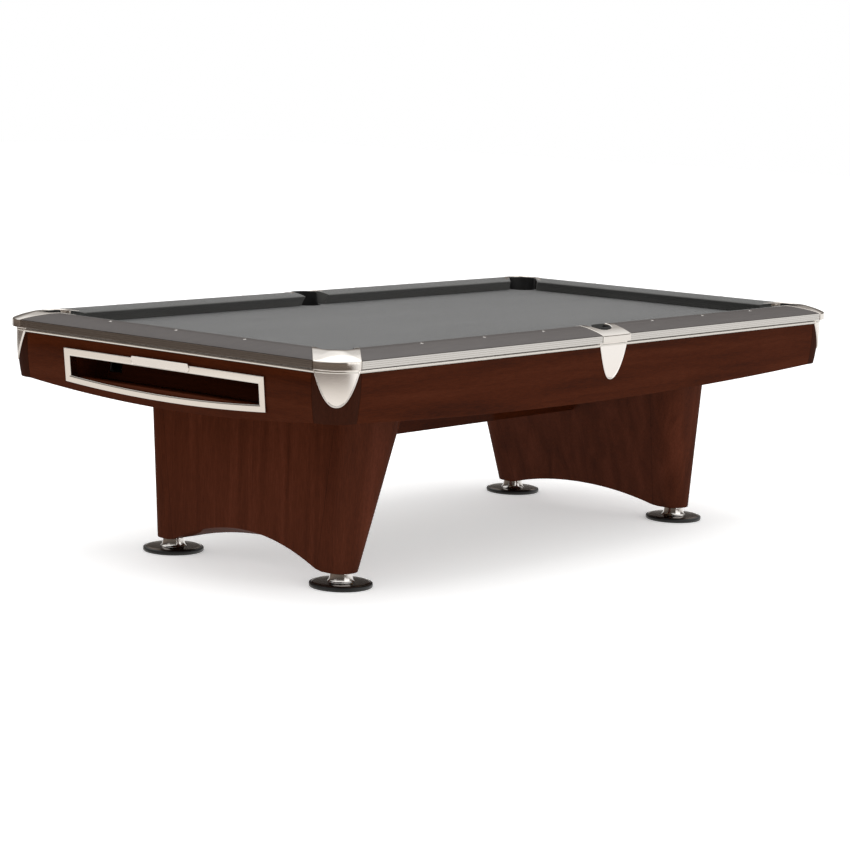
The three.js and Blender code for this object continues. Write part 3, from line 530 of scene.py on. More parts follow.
# Painted light: the pedestals' veneer is the aprons' mahogany drawn lighter, to make up for the shade
# the pedestals stand in.
PEDESTAL_SHADES_PAINTED_LIGHTER = ("#30150c", "#442013", "#562b1d")
CORNER_BLOCK_SHADES = ("#1c0c06", "#2b130a", "#361a10")
# Painted light: the cushions' cloth is the bed's cloth drawn a little lighter, to lift the cushion
# faces that stand in shade.
CUSHION_SHADES_PAINTED_LIGHTER = ("#434341", "#484846", "#4e4e4c")
NAP = 0.00016  # height of the cloth's threads, in metres


class Finishes:
    """The table's materials, made when the first piece asks for one."""

    made = {}

    @classmethod
    def get(cls, name):
        if not cls.made:
            cls.make()
        return cls.made[name]

    @classmethod
    def make(cls):
        colours = bpy.context.scene.pool_table_finish
        bed = ("#414140", colours.cloth, "#4b4b4a")
        stain = (colours.stain_dark, colours.stain, colours.stain_light)
        joints = (line_seam("Y", 0.340, 0.13), plain_seam("Y", -0.04))
        trim = ("Anodised aluminium trim, long, painted brighter", "Anodised aluminium trim, end")
        cls.made = {
            "bed": worsted_cloth("Worsted cloth on the bed", bed, NAP),
            "cushion": worsted_cloth("Worsted cloth on the cushions, painted lighter", CUSHION_SHADES_PAINTED_LIGHTER, NAP),
            "laminate": laminate_sheet("Satin laminate"),
            "casting": cast_metal("Satin nickel casting", "#dcd6cf", 0.1, 0.2, 900.0, 0.000008),
            # Painted light: the shields and the nameplate are the castings' satin nickel, drawn
            # brighter to stand in for the light they reflect.
            "shield": cast_metal("Satin nickel shield, painted brighter", "#ece7e2", 0.2, 0.28, 900.0, 0.00002),
            "bead": drawn_metal("Brushed nickel bead", "#d6d2cc", "x", 0.16, 0.28),
            # Painted light: the long trims' colour is brighter than the end trims', for the brighter
            # reflection along the near side; both are the same anodised aluminium.
            "trim_long_painted_brighter": drawn_metal(trim[0], "#fdfbf7", "x", 0.13, 0.2, TRIM_GROOVE_SHADOWS),
            "trim_end": drawn_metal(trim[1], "#f2eae3", "y", 0.13, 0.2, TRIM_GROOVE_SHADOWS),
            "chrome": cast_metal("Polished chrome", "#d8d4d0", 0.12, 0.2, 300.0, 0.000005),
            "plate": cast_metal("Black nickel plate", "#5b4d42", 0.12, 0.24, 300.0, 0.000005),
            "wood_long": veneer("Mahogany veneer along the sides", "x", stain),
            "wood_end": veneer("Mahogany veneer along the ends", "y", stain),
            "wood_up_painted_lighter": veneer("Mahogany veneer on the pedestals, painted lighter", "z", PEDESTAL_SHADES_PAINTED_LIGHTER, joints),
            "wood_corner": veneer("Mahogany veneer on the corner blocks", "z", CORNER_BLOCK_SHADES),
            "pad": moulded_rubber("Moulded rubber pad", "#101010", 0.4),
            "liner": moulded_rubber("Moulded rubber pocket", "#0b0b0b", 0.62),
            "plastic": moulded_rubber("Matt black plastic", "#121212", 0.5),
            "slate": honed_slate("Honed slate"),
            "timber": planed_timber("Planed spruce"),
        }


# ---- Pieces ----
def rail_section():
    """Closed loop of (inwards, z) points round a rail."""
    front, back = 3.4, CREST - 0.2
    under, trim_back = 800.6, 52.3
    top = [(s, rail_height(s)) for s in np.linspace(front, CREST - 1.2, 22)]
    crest = [(CREST - 0.5, rail_height(CREST) - 0.3), (back, rail_height(CREST) - 1.4)]
    below = [(back, under), (trim_back, under), (trim_back, TRIM_BOTTOM), (front, TRIM_BOTTOM)]
    return top + crest + below


def side_spans(side):
    """Where each rail of a side begins and ends: a corner at one end, or a side pocket."""
    if side in ("left", "right"):
        return [("corner", "pocket"), ("pocket", "corner")]
    return [("corner", "corner")]


def side_cap_half(inwards):
    """Half the width of a side cap, which narrows towards the outside."""
    return SIDE_CAP_HALF - SIDE_CAP_TAPER * (SIDE_CAP_DEPTH - inwards) / SIDE_CAP_DEPTH


def span_end(side, kind, inwards, low):
    """Place along the side where a rail meets a cap."""
    if kind == "corner":
        along = reach(side) - (inwards + CORNER_HALF * math.sqrt(2) + 0.4)
    else:
        along = side_cap_half(inwards) + 0.3
    return -along if low == (kind == "corner") else along


def rail_name(side, index):
    """A rail's name, from its side and its place along it."""
    if side in ("foot", "head"):
        return side
    towards_foot = (index == 0) == (side == "left")
    return f"{side}_{'foot' if towards_foot else 'head'}"


def swept_spans(section, end_at, steps):
    """The name and closed shape of each piece of a section, swept between the caps of each side."""
    for side in TURNS:
        for index, (start, stop) in enumerate(side_spans(side)):
            rows = []
            for t in np.linspace(0, 1, steps):
                row = []
                for s, z in section:
                    a, b = end_at(side, start, s, True), end_at(side, stop, s, False)
                    row.append(on_side(side, a + (b - a) * t, s, z))
                rows.append(row)
            shape = Shape().grid(rows, wrap_columns=True).face(rows[0]).face(rows[-1])
            yield rail_name(side, index), shape


def make_rails():
    for name, shape in swept_spans(rail_section(), span_end, 9):
        rail = shape.to_object(f"top_rail_{name}", Finishes.get("laminate"), bevel=0.5)
        settle(rail, "table", "laminate", f"rail_{name}")


def cushion_section():
    """Closed loop of (inwards, z) points round a cloth-covered cushion."""
    crest = rail_height(CREST)
    back, width, crown = CREST + 0.4, 65, 0.9
    loop = [(back, crest - 2.2), (CREST + 0.8, crest - 0.9), (CREST + 2.2, crest - 0.15)]
    for s in (108, 116, 122.9, 123.1, 132, 141, 150, 157):
        loop.append((s, rail_height(s) + crown * math.sin(math.pi * (s - CREST) / width)))
    nose_s, nose_z, nose_radius = 161.2, 835.9, 2.8
    for degrees in (70, 45, 20, 0, -20, -45, -65):
        angle = math.radians(degrees)
        loop.append((nose_s + nose_radius * math.cos(angle), nose_z + nose_radius * math.sin(angle)))
    for t in (0.3, 0.6, 0.9, 1.0):
        loop.append((161 - 18 * t - 2.2 * math.sin(math.pi * t), 833 - 31.3 * t))
    loop.append((back, CAP_BOTTOM))
    return loop


def cushion_end(side, kind, inwards, low):
    """Place along the side where a cushion's facing opens into a pocket."""
    if kind == "corner":
        hidden = 8.5 if inwards < 123 else 0
        along = reach(side) - (inwards + POCKET_RADIUS * math.sqrt(2) + hidden)
        return -along if low else along
    along = 65 - 4.5 * (NOSE[0] - inwards) / SIDE_SETBACK
    return along if low else -along


def make_cushions():
    for name, shape in swept_spans(cushion_section(), cushion_end, 25):
        material = Finishes.get("cushion")
        cushion = shape.to_object(f"cloth_cushion_{name}", material, bevel=1.3, sharp=50)
        settle(cushion, "table", "cushion_cloth", f"cushion_{name}")


CLOTH_TUCK = 6  # the cloth's edge stops this far in from the CAD cloth's
HOLE_EASE = 0.6


def side_hole():
    """The cloth's edge round a side pocket, as (x, y) on the left side."""
    radius = SIDE_RADIUS + HOLE_EASE
    quarter = []
    for i in range(25):
        angle = math.pi / 2 * i / 24
        quarter.append((-radius * math.cos(angle), SIDE_POCKET_OUT - radius * math.sin(angle)))
    return quarter + [(-px, py) for px, py in reversed(quarter[:-1])]


def corner_hole(corner):
    """The cloth's edge round a corner pocket, counter-clockwise round the bed."""
    radius = POCKET_RADIUS + HOLE_EASE
    points = []
    for i in range(33):
        angle = math.pi / 2 - math.pi * i / 32
        along = CORNER_SETBACK + radius * math.cos(angle)
        points.append(on_diagonal(corner, along, radius * math.sin(angle), 0)[:2])
    sx, sy = CORNERS[corner]
    starts_at_end = abs(points[0][0]) > abs(points[-1][0])
    if starts_at_end != (sx == sy):
        points.reverse()
    return points


def bed_edge(corner, point):
    """The place on the cloth's straight edge that a corner hole's end runs out to."""
    sx, sy = CORNERS[corner]
    past_end = abs(point[0]) - (HALF_LENGTH - RAIL_WIDTH)
    past_side = abs(point[1]) - (HALF_WIDTH - RAIL_WIDTH)
    if past_end > past_side:
        return (sx * (CLOTH_HIGH[0] - CLOTH_TUCK), point[1])
    return (point[0], sy * (CLOTH_HIGH[1] - CLOTH_TUCK))


def make_bed():
    """The cloth: one stretched sheet that turns down into the pockets."""
    outline, lips = [], []
    for corner in ("foot_right", "head_right", "head_left", "foot_left"):
        points = corner_hole(corner)
        outline.extend([bed_edge(corner, points[0]), *points, bed_edge(corner, points[-1])])
        lips.append(points)
        if corner in ("foot_right", "head_left"):
            sy = CORNERS[corner][1]
            y = sy * (CLOTH_HIGH[1] - CLOTH_TUCK)
            points = [(px, sy * py) for px, py in side_hole()]
            if sy > 0:
                points.reverse()
            outline.extend([(points[0][0], y), *points, (points[-1][0], y)])
            lips.append(points)
    shape = Shape().face([(px, py, CLOTH_TOP) for px, py in outline])
    for points in lips:
        rows = [[(px, py, CLOTH_TOP) for px, py in points]]
        centre = np.mean([points[0], points[-1]], axis=0)
        for drop, inwards in ((0.5, 0.35), (1.4, 0.6), (18, 0.6)):
            row = []
            for px, py in points:
                away = np.array((px, py)) - centre
                away = away / max(np.linalg.norm(away), 1e-6)
                row.append((px - away[0] * inwards, py - away[1] * inwards, CLOTH_TOP - drop))
            rows.append(row)
        shape.grid(rows)
    cloth = shape.to_object("bed_cloth_sheet", Finishes.get("bed"))
    settle(cloth, "table", "cloth", "bed_cloth")


def cap_height(inwards):
    return rail_height(inwards) + CAP_PROUD


def cap_low(inwards):
    """Underside of a casting: a skirt over the trim's place, and level beyond it."""
    return TRIM_BOTTOM if inwards < CAP_SKIRT else CAP_BOTTOM


def cap_piece(name, inner, outer, inwards_at, rims, node_name):
    """A cast cap between two outlines in plan, with rounded rims and walls down to its underside."""
    columns = []
    for a, b, rim in zip(inner, outer, rims):
        a, b = np.array(a[:2]), np.array(b[:2])
        length = np.linalg.norm(b - a)
        along = (b - a) / length
        inside = min(rim[0], 0.3 * length)
        outside = min(rim[1], 0.3 * length)
        column = [(*a, CAP_BOTTOM)]
        for degrees in (0, 22, 45, 67, 90):
            angle = math.radians(degrees)
            p = a + along * inside * (1 - math.cos(angle))
            column.append((*p, cap_height(inwards_at(*p)) - inside * (1 - math.sin(angle))))
        for t in np.linspace(0, 1, 15)[1:-1]:
            p = a + along * (inside + (length - inside - outside) * t)
            column.append((*p, cap_height(inwards_at(*p))))
        for degrees in (90, 67, 45, 22, 0):
            angle = math.radians(degrees)
            p = b - along * outside * (1 - math.cos(angle))
            column.append((*p, cap_height(inwards_at(*p)) - outside * (1 - math.sin(angle))))
        column.append((*b, cap_low(inwards_at(*b))))
        columns.append(column)
    shape = Shape().grid(columns, wrap_columns=True).face(columns[0]).face(columns[-1])
    cap = shape.to_object(name, Finishes.get("casting"), sharp=50)
    return settle(cap, "table", "casting", node_name)


def both_halves(inner, outer, rims, mirrored):
    """A cap's outlines and rims, completed by mirroring the first half."""
    for points in (inner, outer):
        points.extend([mirrored(p) for p in reversed(points[:-1])])
    rims.extend(reversed(rims[:-1]))
    return inner, outer, rims


def corner_outlines():
    """Inner and outer outlines of a corner cap as (along, across), and the rims' radii."""
    inner, outer, rims = [], [], []
    horn = CORNER_REACH - HORN
    for t in np.linspace(0, 1, 8)[:-1]:
        inner.append((CORNER_REACH - HORN * t, 71 - 13 * t))
        outer.append((CORNER_REACH - HORN * t, CORNER_HALF))
        rims.append((1.0, CAP_RIM))
    for t in np.linspace(0, 1, 6)[:-1]:
        inner.append((horn - 29 * t, 58 - t))
        outer.append((horn - 29 * t, CORNER_HALF))
        rims.append((1.0 + 3 * t, CAP_RIM))
    turn = math.atan2(CORNER_HALF, CORNER_HALF - CORNER_SETBACK)
    for t in np.linspace(0, 1, 15):
        angle = math.pi / 2 + (turn - math.pi / 2) * t
        x, y = POCKET_RADIUS * math.cos(angle), POCKET_RADIUS * math.sin(angle)
        inner.append((CORNER_SETBACK + x, y))
        outer.append((CORNER_SETBACK - (CORNER_SETBACK - CORNER_HALF) * t, CORNER_HALF))
        rims.append((4.0, CAP_RIM))
    start = math.atan2(CORNER_HALF, CORNER_HALF - CORNER_MIDDLE)
    radius = CORNER_RADIUS + CAP_PROUD
    for t in np.linspace(0, 1, 41)[1:]:
        angle = turn + (math.pi - turn) * t
        x, y = POCKET_RADIUS * math.cos(angle), POCKET_RADIUS * math.sin(angle)
        inner.append((CORNER_SETBACK + x, y))
        angle = start + (math.pi - start) * t
        outer.append((CORNER_MIDDLE + radius * math.cos(angle), radius * math.sin(angle)))
        rims.append((4.0, CAP_RIM + 3.1 * min(1.0, t * 12)))
    return both_halves(inner, outer, rims, lambda p: (p[0], -p[1]))


def make_corner_caps():
    inner, outer, rims = corner_outlines()
    for corner in CORNERS:
        plan_in = [on_diagonal(corner, a, b, 0) for a, b in inner]
        plan_out = [on_diagonal(corner, a, b, 0) for a, b in outer]
        name, node_name = f"cast_cap_{corner}", f"corner_cap_{corner}"
        cap_piece(name, plan_in, plan_out, inwards_of, rims, node_name)


def side_outlines():
    """Inner and outer outlines of a side cap as (along, out from the noses), and the rims' radii."""
    inner, outer, rims = [], [], []
    face = RAIL_WIDTH + CAP_PROUD
    for t in np.linspace(0, 1, 9)[:-1]:
        u = SIDE_CAP_START + 13 * t
        inner.append((84 - 24 * t, u))
        outer.append((side_cap_half(RAIL_WIDTH - u), u))
        rims.append((1.0 + 2.5 * t, CAP_RIM))
    turn = math.radians(62)
    for t in np.linspace(0, 1, 21):
        angle = turn * t
        x, u = SIDE_RADIUS * math.cos(angle), SIDE_SETBACK + SIDE_RADIUS * math.sin(angle)
        inner.append((x, u))
        u = SIDE_SETBACK + (face - SIDE_SETBACK) * t
        outer.append((side_cap_half(RAIL_WIDTH - u), u))
        rims.append((3.5, CAP_RIM))
    for t in np.linspace(0, 1, 25)[1:]:
        angle = turn + (math.pi / 2 - turn) * t
        x, u = SIDE_RADIUS * math.cos(angle), SIDE_SETBACK + SIDE_RADIUS * math.sin(angle)
        inner.append((x, u))
        outer.append(((SIDE_CAP_HALF - SIDE_CAP_TAPER) * (1 - t), face))
        rims.append((3.5, CAP_RIM + 3.1 * min(1.0, t * 10)))
    return both_halves(inner, outer, rims, lambda p: (-p[0], p[1]))


def make_side_caps():
    inner, outer, rims = side_outlines()
    for side in ("left", "right"):
        plan_in = [on_side(side, a, RAIL_WIDTH - u, 0) for a, u in inner]
        plan_out = [on_side(side, a, RAIL_WIDTH - u, 0) for a, u in outer]
        name, node_name = f"cast_side_cap_{side}", f"side_cap_{side}"
        cap_piece(name, plan_in, plan_out, lambda x, y: HALF_WIDTH - abs(y), rims, node_name)


SHIELD_TOP = 795.5
SHIELD_FLAT = 2.9  # how far the middle of a shield stands out from the cabinet


def shield_shape(half, tip, place):
    """A plate with a raised rim. place(across, height, out) puts a point on the cabinet's face."""
    outline = []
    for t in np.linspace(0, 1, 49):
        across = half * (1 - 2 * t)
        outline.append((across, tip + (SHIELD_TOP - tip) * abs(across / half) ** 2.2))
    for t in np.linspace(0, 1, 21)[1:-1]:
        outline.append((half * (2 * t - 1), SHIELD_TOP))
    outline = np.array(outline)
    middle = np.array((0.0, tip + (SHIELD_TOP - tip) * 0.62))
    spread = np.linalg.norm(outline - middle, axis=1)
    steps = [(0.0, -0.2), (0.0, 3.2), (-0.5, 3.9), (-1.1, 4.1), (-3.3, 4.1), (-4.1, 3.7)]
    steps.append((-4.8, SHIELD_FLAT))
    rings = []
    for inset, out in steps:
        ring = middle + (outline - middle) * (1 + inset / spread)[:, None]
        rings.append([place(a, z, out) for a, z in ring])
    inside = middle + (outline - middle) * (1 + steps[-1][0] / spread)[:, None]
    for share in np.linspace(0.97, 0.03, 22):
        ring = middle + (inside - middle) * share
        rings.append([place(a, z, SHIELD_FLAT) for a, z in ring])
    return Shape().grid(rings, wrap_columns=True).face(rings[-1])


def make_shields():
    for corner in CORNERS:

        def on_corner(across, z, out):
            radius = CORNER_RADIUS - apron_inset(z) + out
            bend = radius * math.sin(math.pi / 4)
            if abs(across) <= bend:
                along = CORNER_MIDDLE - math.sqrt(radius**2 - across**2)
            else:
                along = CORNER_MIDDLE - bend + abs(across) - bend
            return on_diagonal(corner, along, across, z)

        shape = shield_shape(CORNER_HALF - 0.5, 677, on_corner)
        shield = shape.to_object(f"corner_plate_{corner}", Finishes.get("shield"), sharp=60)
        settle(shield, "table", "casting", f"corner_shield_{corner}")
    for side in ("left", "right"):

        def on_face(across, z, out):
            return on_side(side, across, apron_inset(z) - out, z)

        shape = shield_shape(80, 664, on_face)
        shield = shape.to_object(f"side_plate_{side}", Finishes.get("shield"), sharp=60)
        settle(shield, "table", "casting", f"side_shield_{side}")


def apron_column(side, along, bottom, levels):
    """One closed section of the cabinet's wall at a place along a side."""
    heights = [bottom + (levels[0] - bottom) * t for t in (0, 0.25, 0.5, 0.75)] + levels
    face = [on_side(side, along, apron_inset(z), z) for z in heights]
    back = [on_side(side, along, APRON_BACK, z) for z in reversed(heights)]
    return face + back


def ball_opening(shape, places, columns):
    """Walls the ball opening through the foot apron, and returns the quads left open for it."""
    low, high = 4, 7
    last_point = len(columns[0]) - 1
    half = BALL_OPENING_HALF
    inside = [c for c, along in enumerate(places[:-1]) if -half <= along < half - 1]
    rows = [*range(low, high), *[last_point - 1 - r for r in range(low, high)]]
    run = range(inside[0], inside[-1] + 2)
    for level in (low, high):
        shape.grid([[columns[c][level] for c in run], [columns[c][last_point - level] for c in run]])
    for c in (run[0], run[-1]):
        front = [columns[c][r] for r in range(low, high + 1)]
        back = [columns[c][last_point - r] for r in range(low, high + 1)]
        shape.grid([front, back])
    return {(c, r) for c in inside for r in rows}


def make_aprons():
    levels = [652, 676, 700, 725, 743, 762, APRON_TOP]
    for side in TURNS:
        half = reach(side) - CORNER_RADIUS - 18.3
        places = np.linspace(-half, half, 41)
        if side == "foot":
            opening = BALL_OPENING_HALF
            left, right = np.linspace(-half, -opening, 5), np.linspace(opening, half, 5)
            places = np.concatenate([left, np.linspace(-opening, opening, 25)[1:-1], right])
        columns = []
        for along in places:
            bottom = 587 + 35 * (along / half) ** 2
            columns.append(apron_column(side, along, bottom, levels))
        shape = Shape()
        skip = ball_opening(shape, places, columns) if side == "foot" else ()
        shape.grid(columns, wrap_columns=True, skip=skip).face(columns[0]).face(columns[-1])
        material = Finishes.get("wood_long" if side in ("left", "right") else "wood_end")
        apron = shape.to_object(f"cabinet_side_{side}", material, bevel=1.2, sharp=50)
        settle(apron, "table", "wood", f"apron_{side}")


def round_corner(corner, inwards, z, straight):
    """Points round a corner at one distance in from the outline, with a straight piece each end."""
    count = 33
    radius = CORNER_RADIUS - inwards
    points = []
    for i in range(count):
        angle = -math.pi / 4 + math.pi / 2 * i / (count - 1)
        points.append((CORNER_MIDDLE - radius * math.cos(angle), radius * math.sin(angle)))
    first, last = points[0], points[-1]
    step = straight / math.sqrt(2)
    points = [(first[0] + step, first[1] - step), *points, (last[0] + step, last[1] + step)]
    return [on_diagonal(corner, a, b, z) for a, b in points]


def make_corner_blocks():
    straight = 17.7
    heights = np.linspace(APRON_CORNER_BOTTOM, APRON_TOP, 10)
    material = Finishes.get("wood_corner")
    for corner in CORNERS:
        rows = [round_corner(corner, apron_inset(z), z, straight) for z in heights]
        rows += [round_corner(corner, APRON_BACK, z, straight) for z in reversed(heights)]
        columns = [list(column) for column in zip(*rows)]
        shape = Shape().grid(columns, wrap_columns=True).face(columns[0]).face(columns[-1])
        block = shape.to_object(f"cabinet_corner_{corner}", material, bevel=1.2, sharp=50)
        settle(block, "table", "wood", f"corner_block_{corner}")


def round_the_table(section):
    """A closed (inwards, z) section swept round the four sides and corners."""
    loop = []
    for corner in ("head_left", "foot_left", "foot_right", "head_right"):
        rows = [round_corner(corner, s, z, 0.0)[1:-1] for s, z in section]
        columns = [list(column) for column in zip(*rows)]
        if corner in ("foot_left", "head_right"):
            columns.reverse()
        loop.extend(columns)
    return Shape().grid(loop, wrap_rows=True, wrap_columns=True)


def make_beads():
    """A half-round bead all the way round under the trim, and over it a matt black recess painted as
    the shadow in the gap.
    """
    face, back, bottom, top = 17.5, 30, 781.6, 794.5
    profile = [(face, bottom), (14.6, 781.9)]
    for degrees in range(-80, 81, 20):
        angle = math.radians(degrees)
        profile.append((16.2 - 2.6 * math.cos(angle), 788.1 + 6.2 * math.sin(angle)))
    profile += [(face, top), (back, top), (back, bottom)]
    bead = round_the_table(profile).to_object("bead_moulding", Finishes.get("bead"), sharp=45)
    settle(bead, "table", "casting")
    # Painted shadow: the gap between the bead and the trim is a matt black recess standing in for its
    # shade.
    face, back, bottom, top = 19.0, 34, 794.4, 797.4
    recess = [(face, bottom), (face, top), (back, top), (back, bottom)]
    groove_shadow = round_the_table(recess).to_object("shadow_groove", Finishes.get("plastic"))
    settle(groove_shadow, "table", "black_plastic")


def ball_frame_outline(half, top, corner, middle):
    """A closed outline with a bottom that bows down to its middle."""
    bottom = []
    for t in np.linspace(-1, 1, 25):
        bottom.append((half * t, middle + (corner - middle) * t * t))
    return np.array(bottom + [(half, top), (-half, top)])


BALL_FRAME_TOP = 748
BALL_FRAME_LEAN = 0.106


def frame_face(z):
    """Distance in from the outline of the ball-box frame's back, which leans with the apron."""
    return 17.2 + BALL_FRAME_LEAN * (BALL_FRAME_TOP - z)


def make_ball_frame():
    outer = ball_frame_outline(473, BALL_FRAME_TOP, 633, 615)
    inner = ball_frame_outline(447, 722, 655, 637)
    rings = []
    levels = [(0.0, 1.5), (0.0, 8.4), (0.05, 9.4), (0.8, 9.4), (0.97, 7.4), (1.0, 6.0), (1.0, -24.0)]
    for share, out in levels:
        ring = outer + (inner - outer) * share
        rings.append([on_side("foot", a, frame_face(z) - out, z) for a, z in ring])
    shape = Shape().grid(rings, wrap_rows=True, wrap_columns=True)
    surround = shape.to_object("ball_opening_frame", Finishes.get("casting"), bevel=0.6, sharp=25)
    settle(surround, "table", "casting", "ball_box_frame")


def make_nameplate():
    """A blank plate with round ends across the frame's top edge."""
    half, low, high = 137.0, 725.5, 754.0
    middle, radius = (low + high) / 2, (high - low) / 2
    squash = 0.5  # the ends are half as deep as a half-circle
    outline = []
    for start, cx in ((-90, half - radius * squash), (90, -(half - radius * squash))):
        for i in range(13):
            angle = math.radians(start + 15 * i)
            x = cx + radius * squash * math.cos(angle)
            outline.append((x, middle + radius * math.sin(angle)))
    outline = np.array(outline)
    rings = []
    for inset, out in ((0, 6.0), (0, 11.6), (0.7, 12.4), (2.0, 12.4), (2.6, 11.6), (9.0, 11.6)):
        scale = np.array(((half - inset) / half, (radius - inset) / radius))
        ring = (outline - (0, middle)) * scale + (0, middle)
        rings.append([on_side("foot", a, frame_face(z) - out, z) for a, z in ring])
    shape = Shape().grid(rings, wrap_columns=True).face(rings[0]).face(rings[-1])
    plate = shape.to_object("blank_nameplate", Finishes.get("shield"), sharp=35)
    settle(plate, "table", "casting")


def liner_section(radius, closed, rib):
    """Closed loop of (radius, z) points. closed is 1 round the back and 0 in the mouth."""
    floor, low_top, rise = 741, 798.0, 48.0
    top = low_top + rise * closed
    outer, thick = radius - 0.6, 3.0 + 1.2 * closed
    section = [(outer - 1, floor), (outer, top - 1.5), (outer - 0.6, top - 0.4)]
    section += [(outer - thick / 2, top), (outer - thick + 0.5, top - 0.7)]
    section += [(outer - thick, top - 2.2), (outer - 3 - rib, top - 6), (outer - 4 - rib, floor)]
    return section


def make_liners():
    """Moulded rubber pockets: a rolled lip, a ribbed wall, and an open mouth over the bed."""
    pockets = []
    for corner, outwards in CORNERS.items():
        pockets.append((corner, on_diagonal(corner, CORNER_SETBACK, 0, 0), POCKET_RADIUS, outwards))
    for side, sy in (("left", 1), ("right", -1)):
        pockets.append((f"side_{side}", (0.0, sy * SIDE_POCKET_OUT), SIDE_RADIUS, (0, sy)))
    mouth = math.radians(97)
    count = 96
    for name, centre, radius, outwards in pockets:
        back = math.atan2(outwards[1], outwards[0])
        columns = []
        for i in range(count):
            angle = back + math.tau * i / count
            away = abs(math.remainder(angle - back, math.tau))
            closed = 1 / (1 + math.exp((away - mouth) * 40))
            section = liner_section(radius, closed, 0.5 if i % 8 < 2 else 0.0)
            cos, sin = math.cos(angle), math.sin(angle)
            columns.append([(centre[0] + r * cos, centre[1] + r * sin, z) for r, z in section])
        shape = Shape().grid(columns, wrap_rows=True, wrap_columns=True)
        liner = shape.to_object(f"rubber_pocket_{name}", Finishes.get("liner"), sharp=60)
        settle(liner, "table", "black_rubber", f"pocket_liner_{name}")


def pedestal_plan(z, along_face=28, round_end=12):
    """Two matching halves of a pedestal's outline at one height: outer face and inner face.

    Each runs from one end of the pedestal to the other, as (x, y) with the outer face at -x."""
    rise = z - PEDESTAL_BOTTOM
    y_end = FOOT_Y + 55 + 0.112 * rise
    x0, x1 = -FOOT_TO_FACE, FOOT_TO_FACE + PEDESTAL_LEAN * rise
    radius = min(60 + 0.062 * rise, (x1 - x0) / 2)
    straight = y_end - radius
    outer, inner = [], []

    def round_off(t, sign):
        angle = math.pi / 2 * t
        y = sign * (straight + radius * math.cos(angle))
        outer.append((x0 + radius - radius * math.sin(angle), y))
        inner.append((x1 - radius + radius * math.sin(angle), y))

    for t in np.linspace(0, 1, round_end)[:-1]:
        round_off(t, -1)
    for t in np.linspace(-1, 1, along_face):
        outer.append((x0, straight * t))
        inner.append((x1, straight * t))
    for t in np.linspace(1, 0, round_end)[1:]:
        round_off(t, 1)
    return np.array(outer), np.array(inner)


def arch_height(x, y):
    """Height of the arch under a pedestal, which is ruled between its two faces."""
    share = min(max((x + FOOT_TO_FACE) / 135, 0), 1)
    rise = (89 - 41 * share) * (1 - (y / 352) ** 2)
    return PEDESTAL_BOTTOM + max(0.0, rise)


def pedestal_column(which, i):
    """Points up one line of a pedestal's face, from the arch to its top."""
    low = PEDESTAL_BOTTOM
    for _ in range(12):
        low = arch_height(*pedestal_plan(low)[which][i])
    column = []
    for share in np.linspace(0, 1, 18):
        z = low + (PEDESTAL_TOP - low) * share
        column.append((*pedestal_plan(z)[which][i], z))
    return column


def make_pedestals():
    count = len(pedestal_plan(PEDESTAL_BOTTOM)[0])
    outer, inner = [[pedestal_column(which, i) for i in range(count)] for which in (0, 1)]
    for name, sign in (("foot", 1), ("head", -1)):
        shape = Shape().grid(outer).grid(inner)
        for end in (0, -1):
            shape.grid([outer[end], inner[end]])
        for level in (0, -1):
            ladder = []
            for a, b in zip(outer, inner):
                a, b = np.array(a[level]), np.array(b[level])
                ladder.append([a + (b - a) * t for t in np.linspace(0, 1, 7)])
            shape.grid(ladder)
        shape.points = [(sign * (x - PLANE_X), sign * y, z) for x, y, z in shape.points]
        wood = Finishes.get("wood_up_painted_lighter")
        pedestal = shape.to_object(f"veneered_pedestal_{name}", wood, 2.0, 55, segments=3)
        settle(pedestal, "table", "wood", f"pedestal_{name}")


PAD_PROFILE = [
    (0, 0), (103, 0), (106.3, 0.9), (107.5, 3), (107.5, 11), (106.9, 12.8), (105.2, 14.2),
    (101, 15.4), (92, 16.4), (70, 17.0), (0, 17.0),
]
PLATE_PROFILE = [
    (47, 17.02), (92, 16.5), (98, 16.1), (99, 15.9), (98.6, 16.5), (92, 17.3), (47, 17.3),
]
COLLAR_PROFILE = [
    (0, 17.3), (45.4, 17.3), (46, 17.9), (45.6, 18.8), (43.9, 20.0), (42.2, 22.2), (40.7, 25.5),
    (39.5, 30.5), (38.3, 36.5), (37.3, 43.5), (36.6, 49.0), (36.0, 50.5), (35.2, 50.7), (12.2, 50.7),
]
THREAD_PITCH = 3


def screw_profile():
    """The collar, and over it the threaded stem inside the pedestal."""
    crest, root, turns = 12.0, 11.0, 16
    thread = []
    for i in range(turns * THREAD_PITCH):
        thread.append((root if i % THREAD_PITCH else crest, PEDESTAL_BOTTOM + i))
    return [*COLLAR_PROFILE, *thread, (10.5, 99.5), (0, 99.5)]


def make_feet():
    for corner, (sx, sy) in CORNERS.items():
        centre = (sx * PLANE_X, sy * FOOT_Y)
        pad, screw = f"pad_{corner}", f"screw_{corner}"
        plate = turned(PLATE_PROFILE, centre)
        plate = plate.to_object(f"levelling_plate_{corner}", Finishes.get("plate"), sharp=50)
        settle(plate, pad, "chromed_steel")
        disc = turned(PAD_PROFILE, centre)
        disc = disc.to_object(f"levelling_pad_{corner}", Finishes.get("pad"), sharp=50)
        settle(disc, pad, "black_rubber", f"foot_pad_{corner}")
        stem = turned(screw_profile(), centre)
        stem = stem.to_object(f"levelling_screw_{corner}", Finishes.get("chrome"), sharp=50)
        settle(stem, screw, "chromed_steel", f"foot_screw_{corner}")


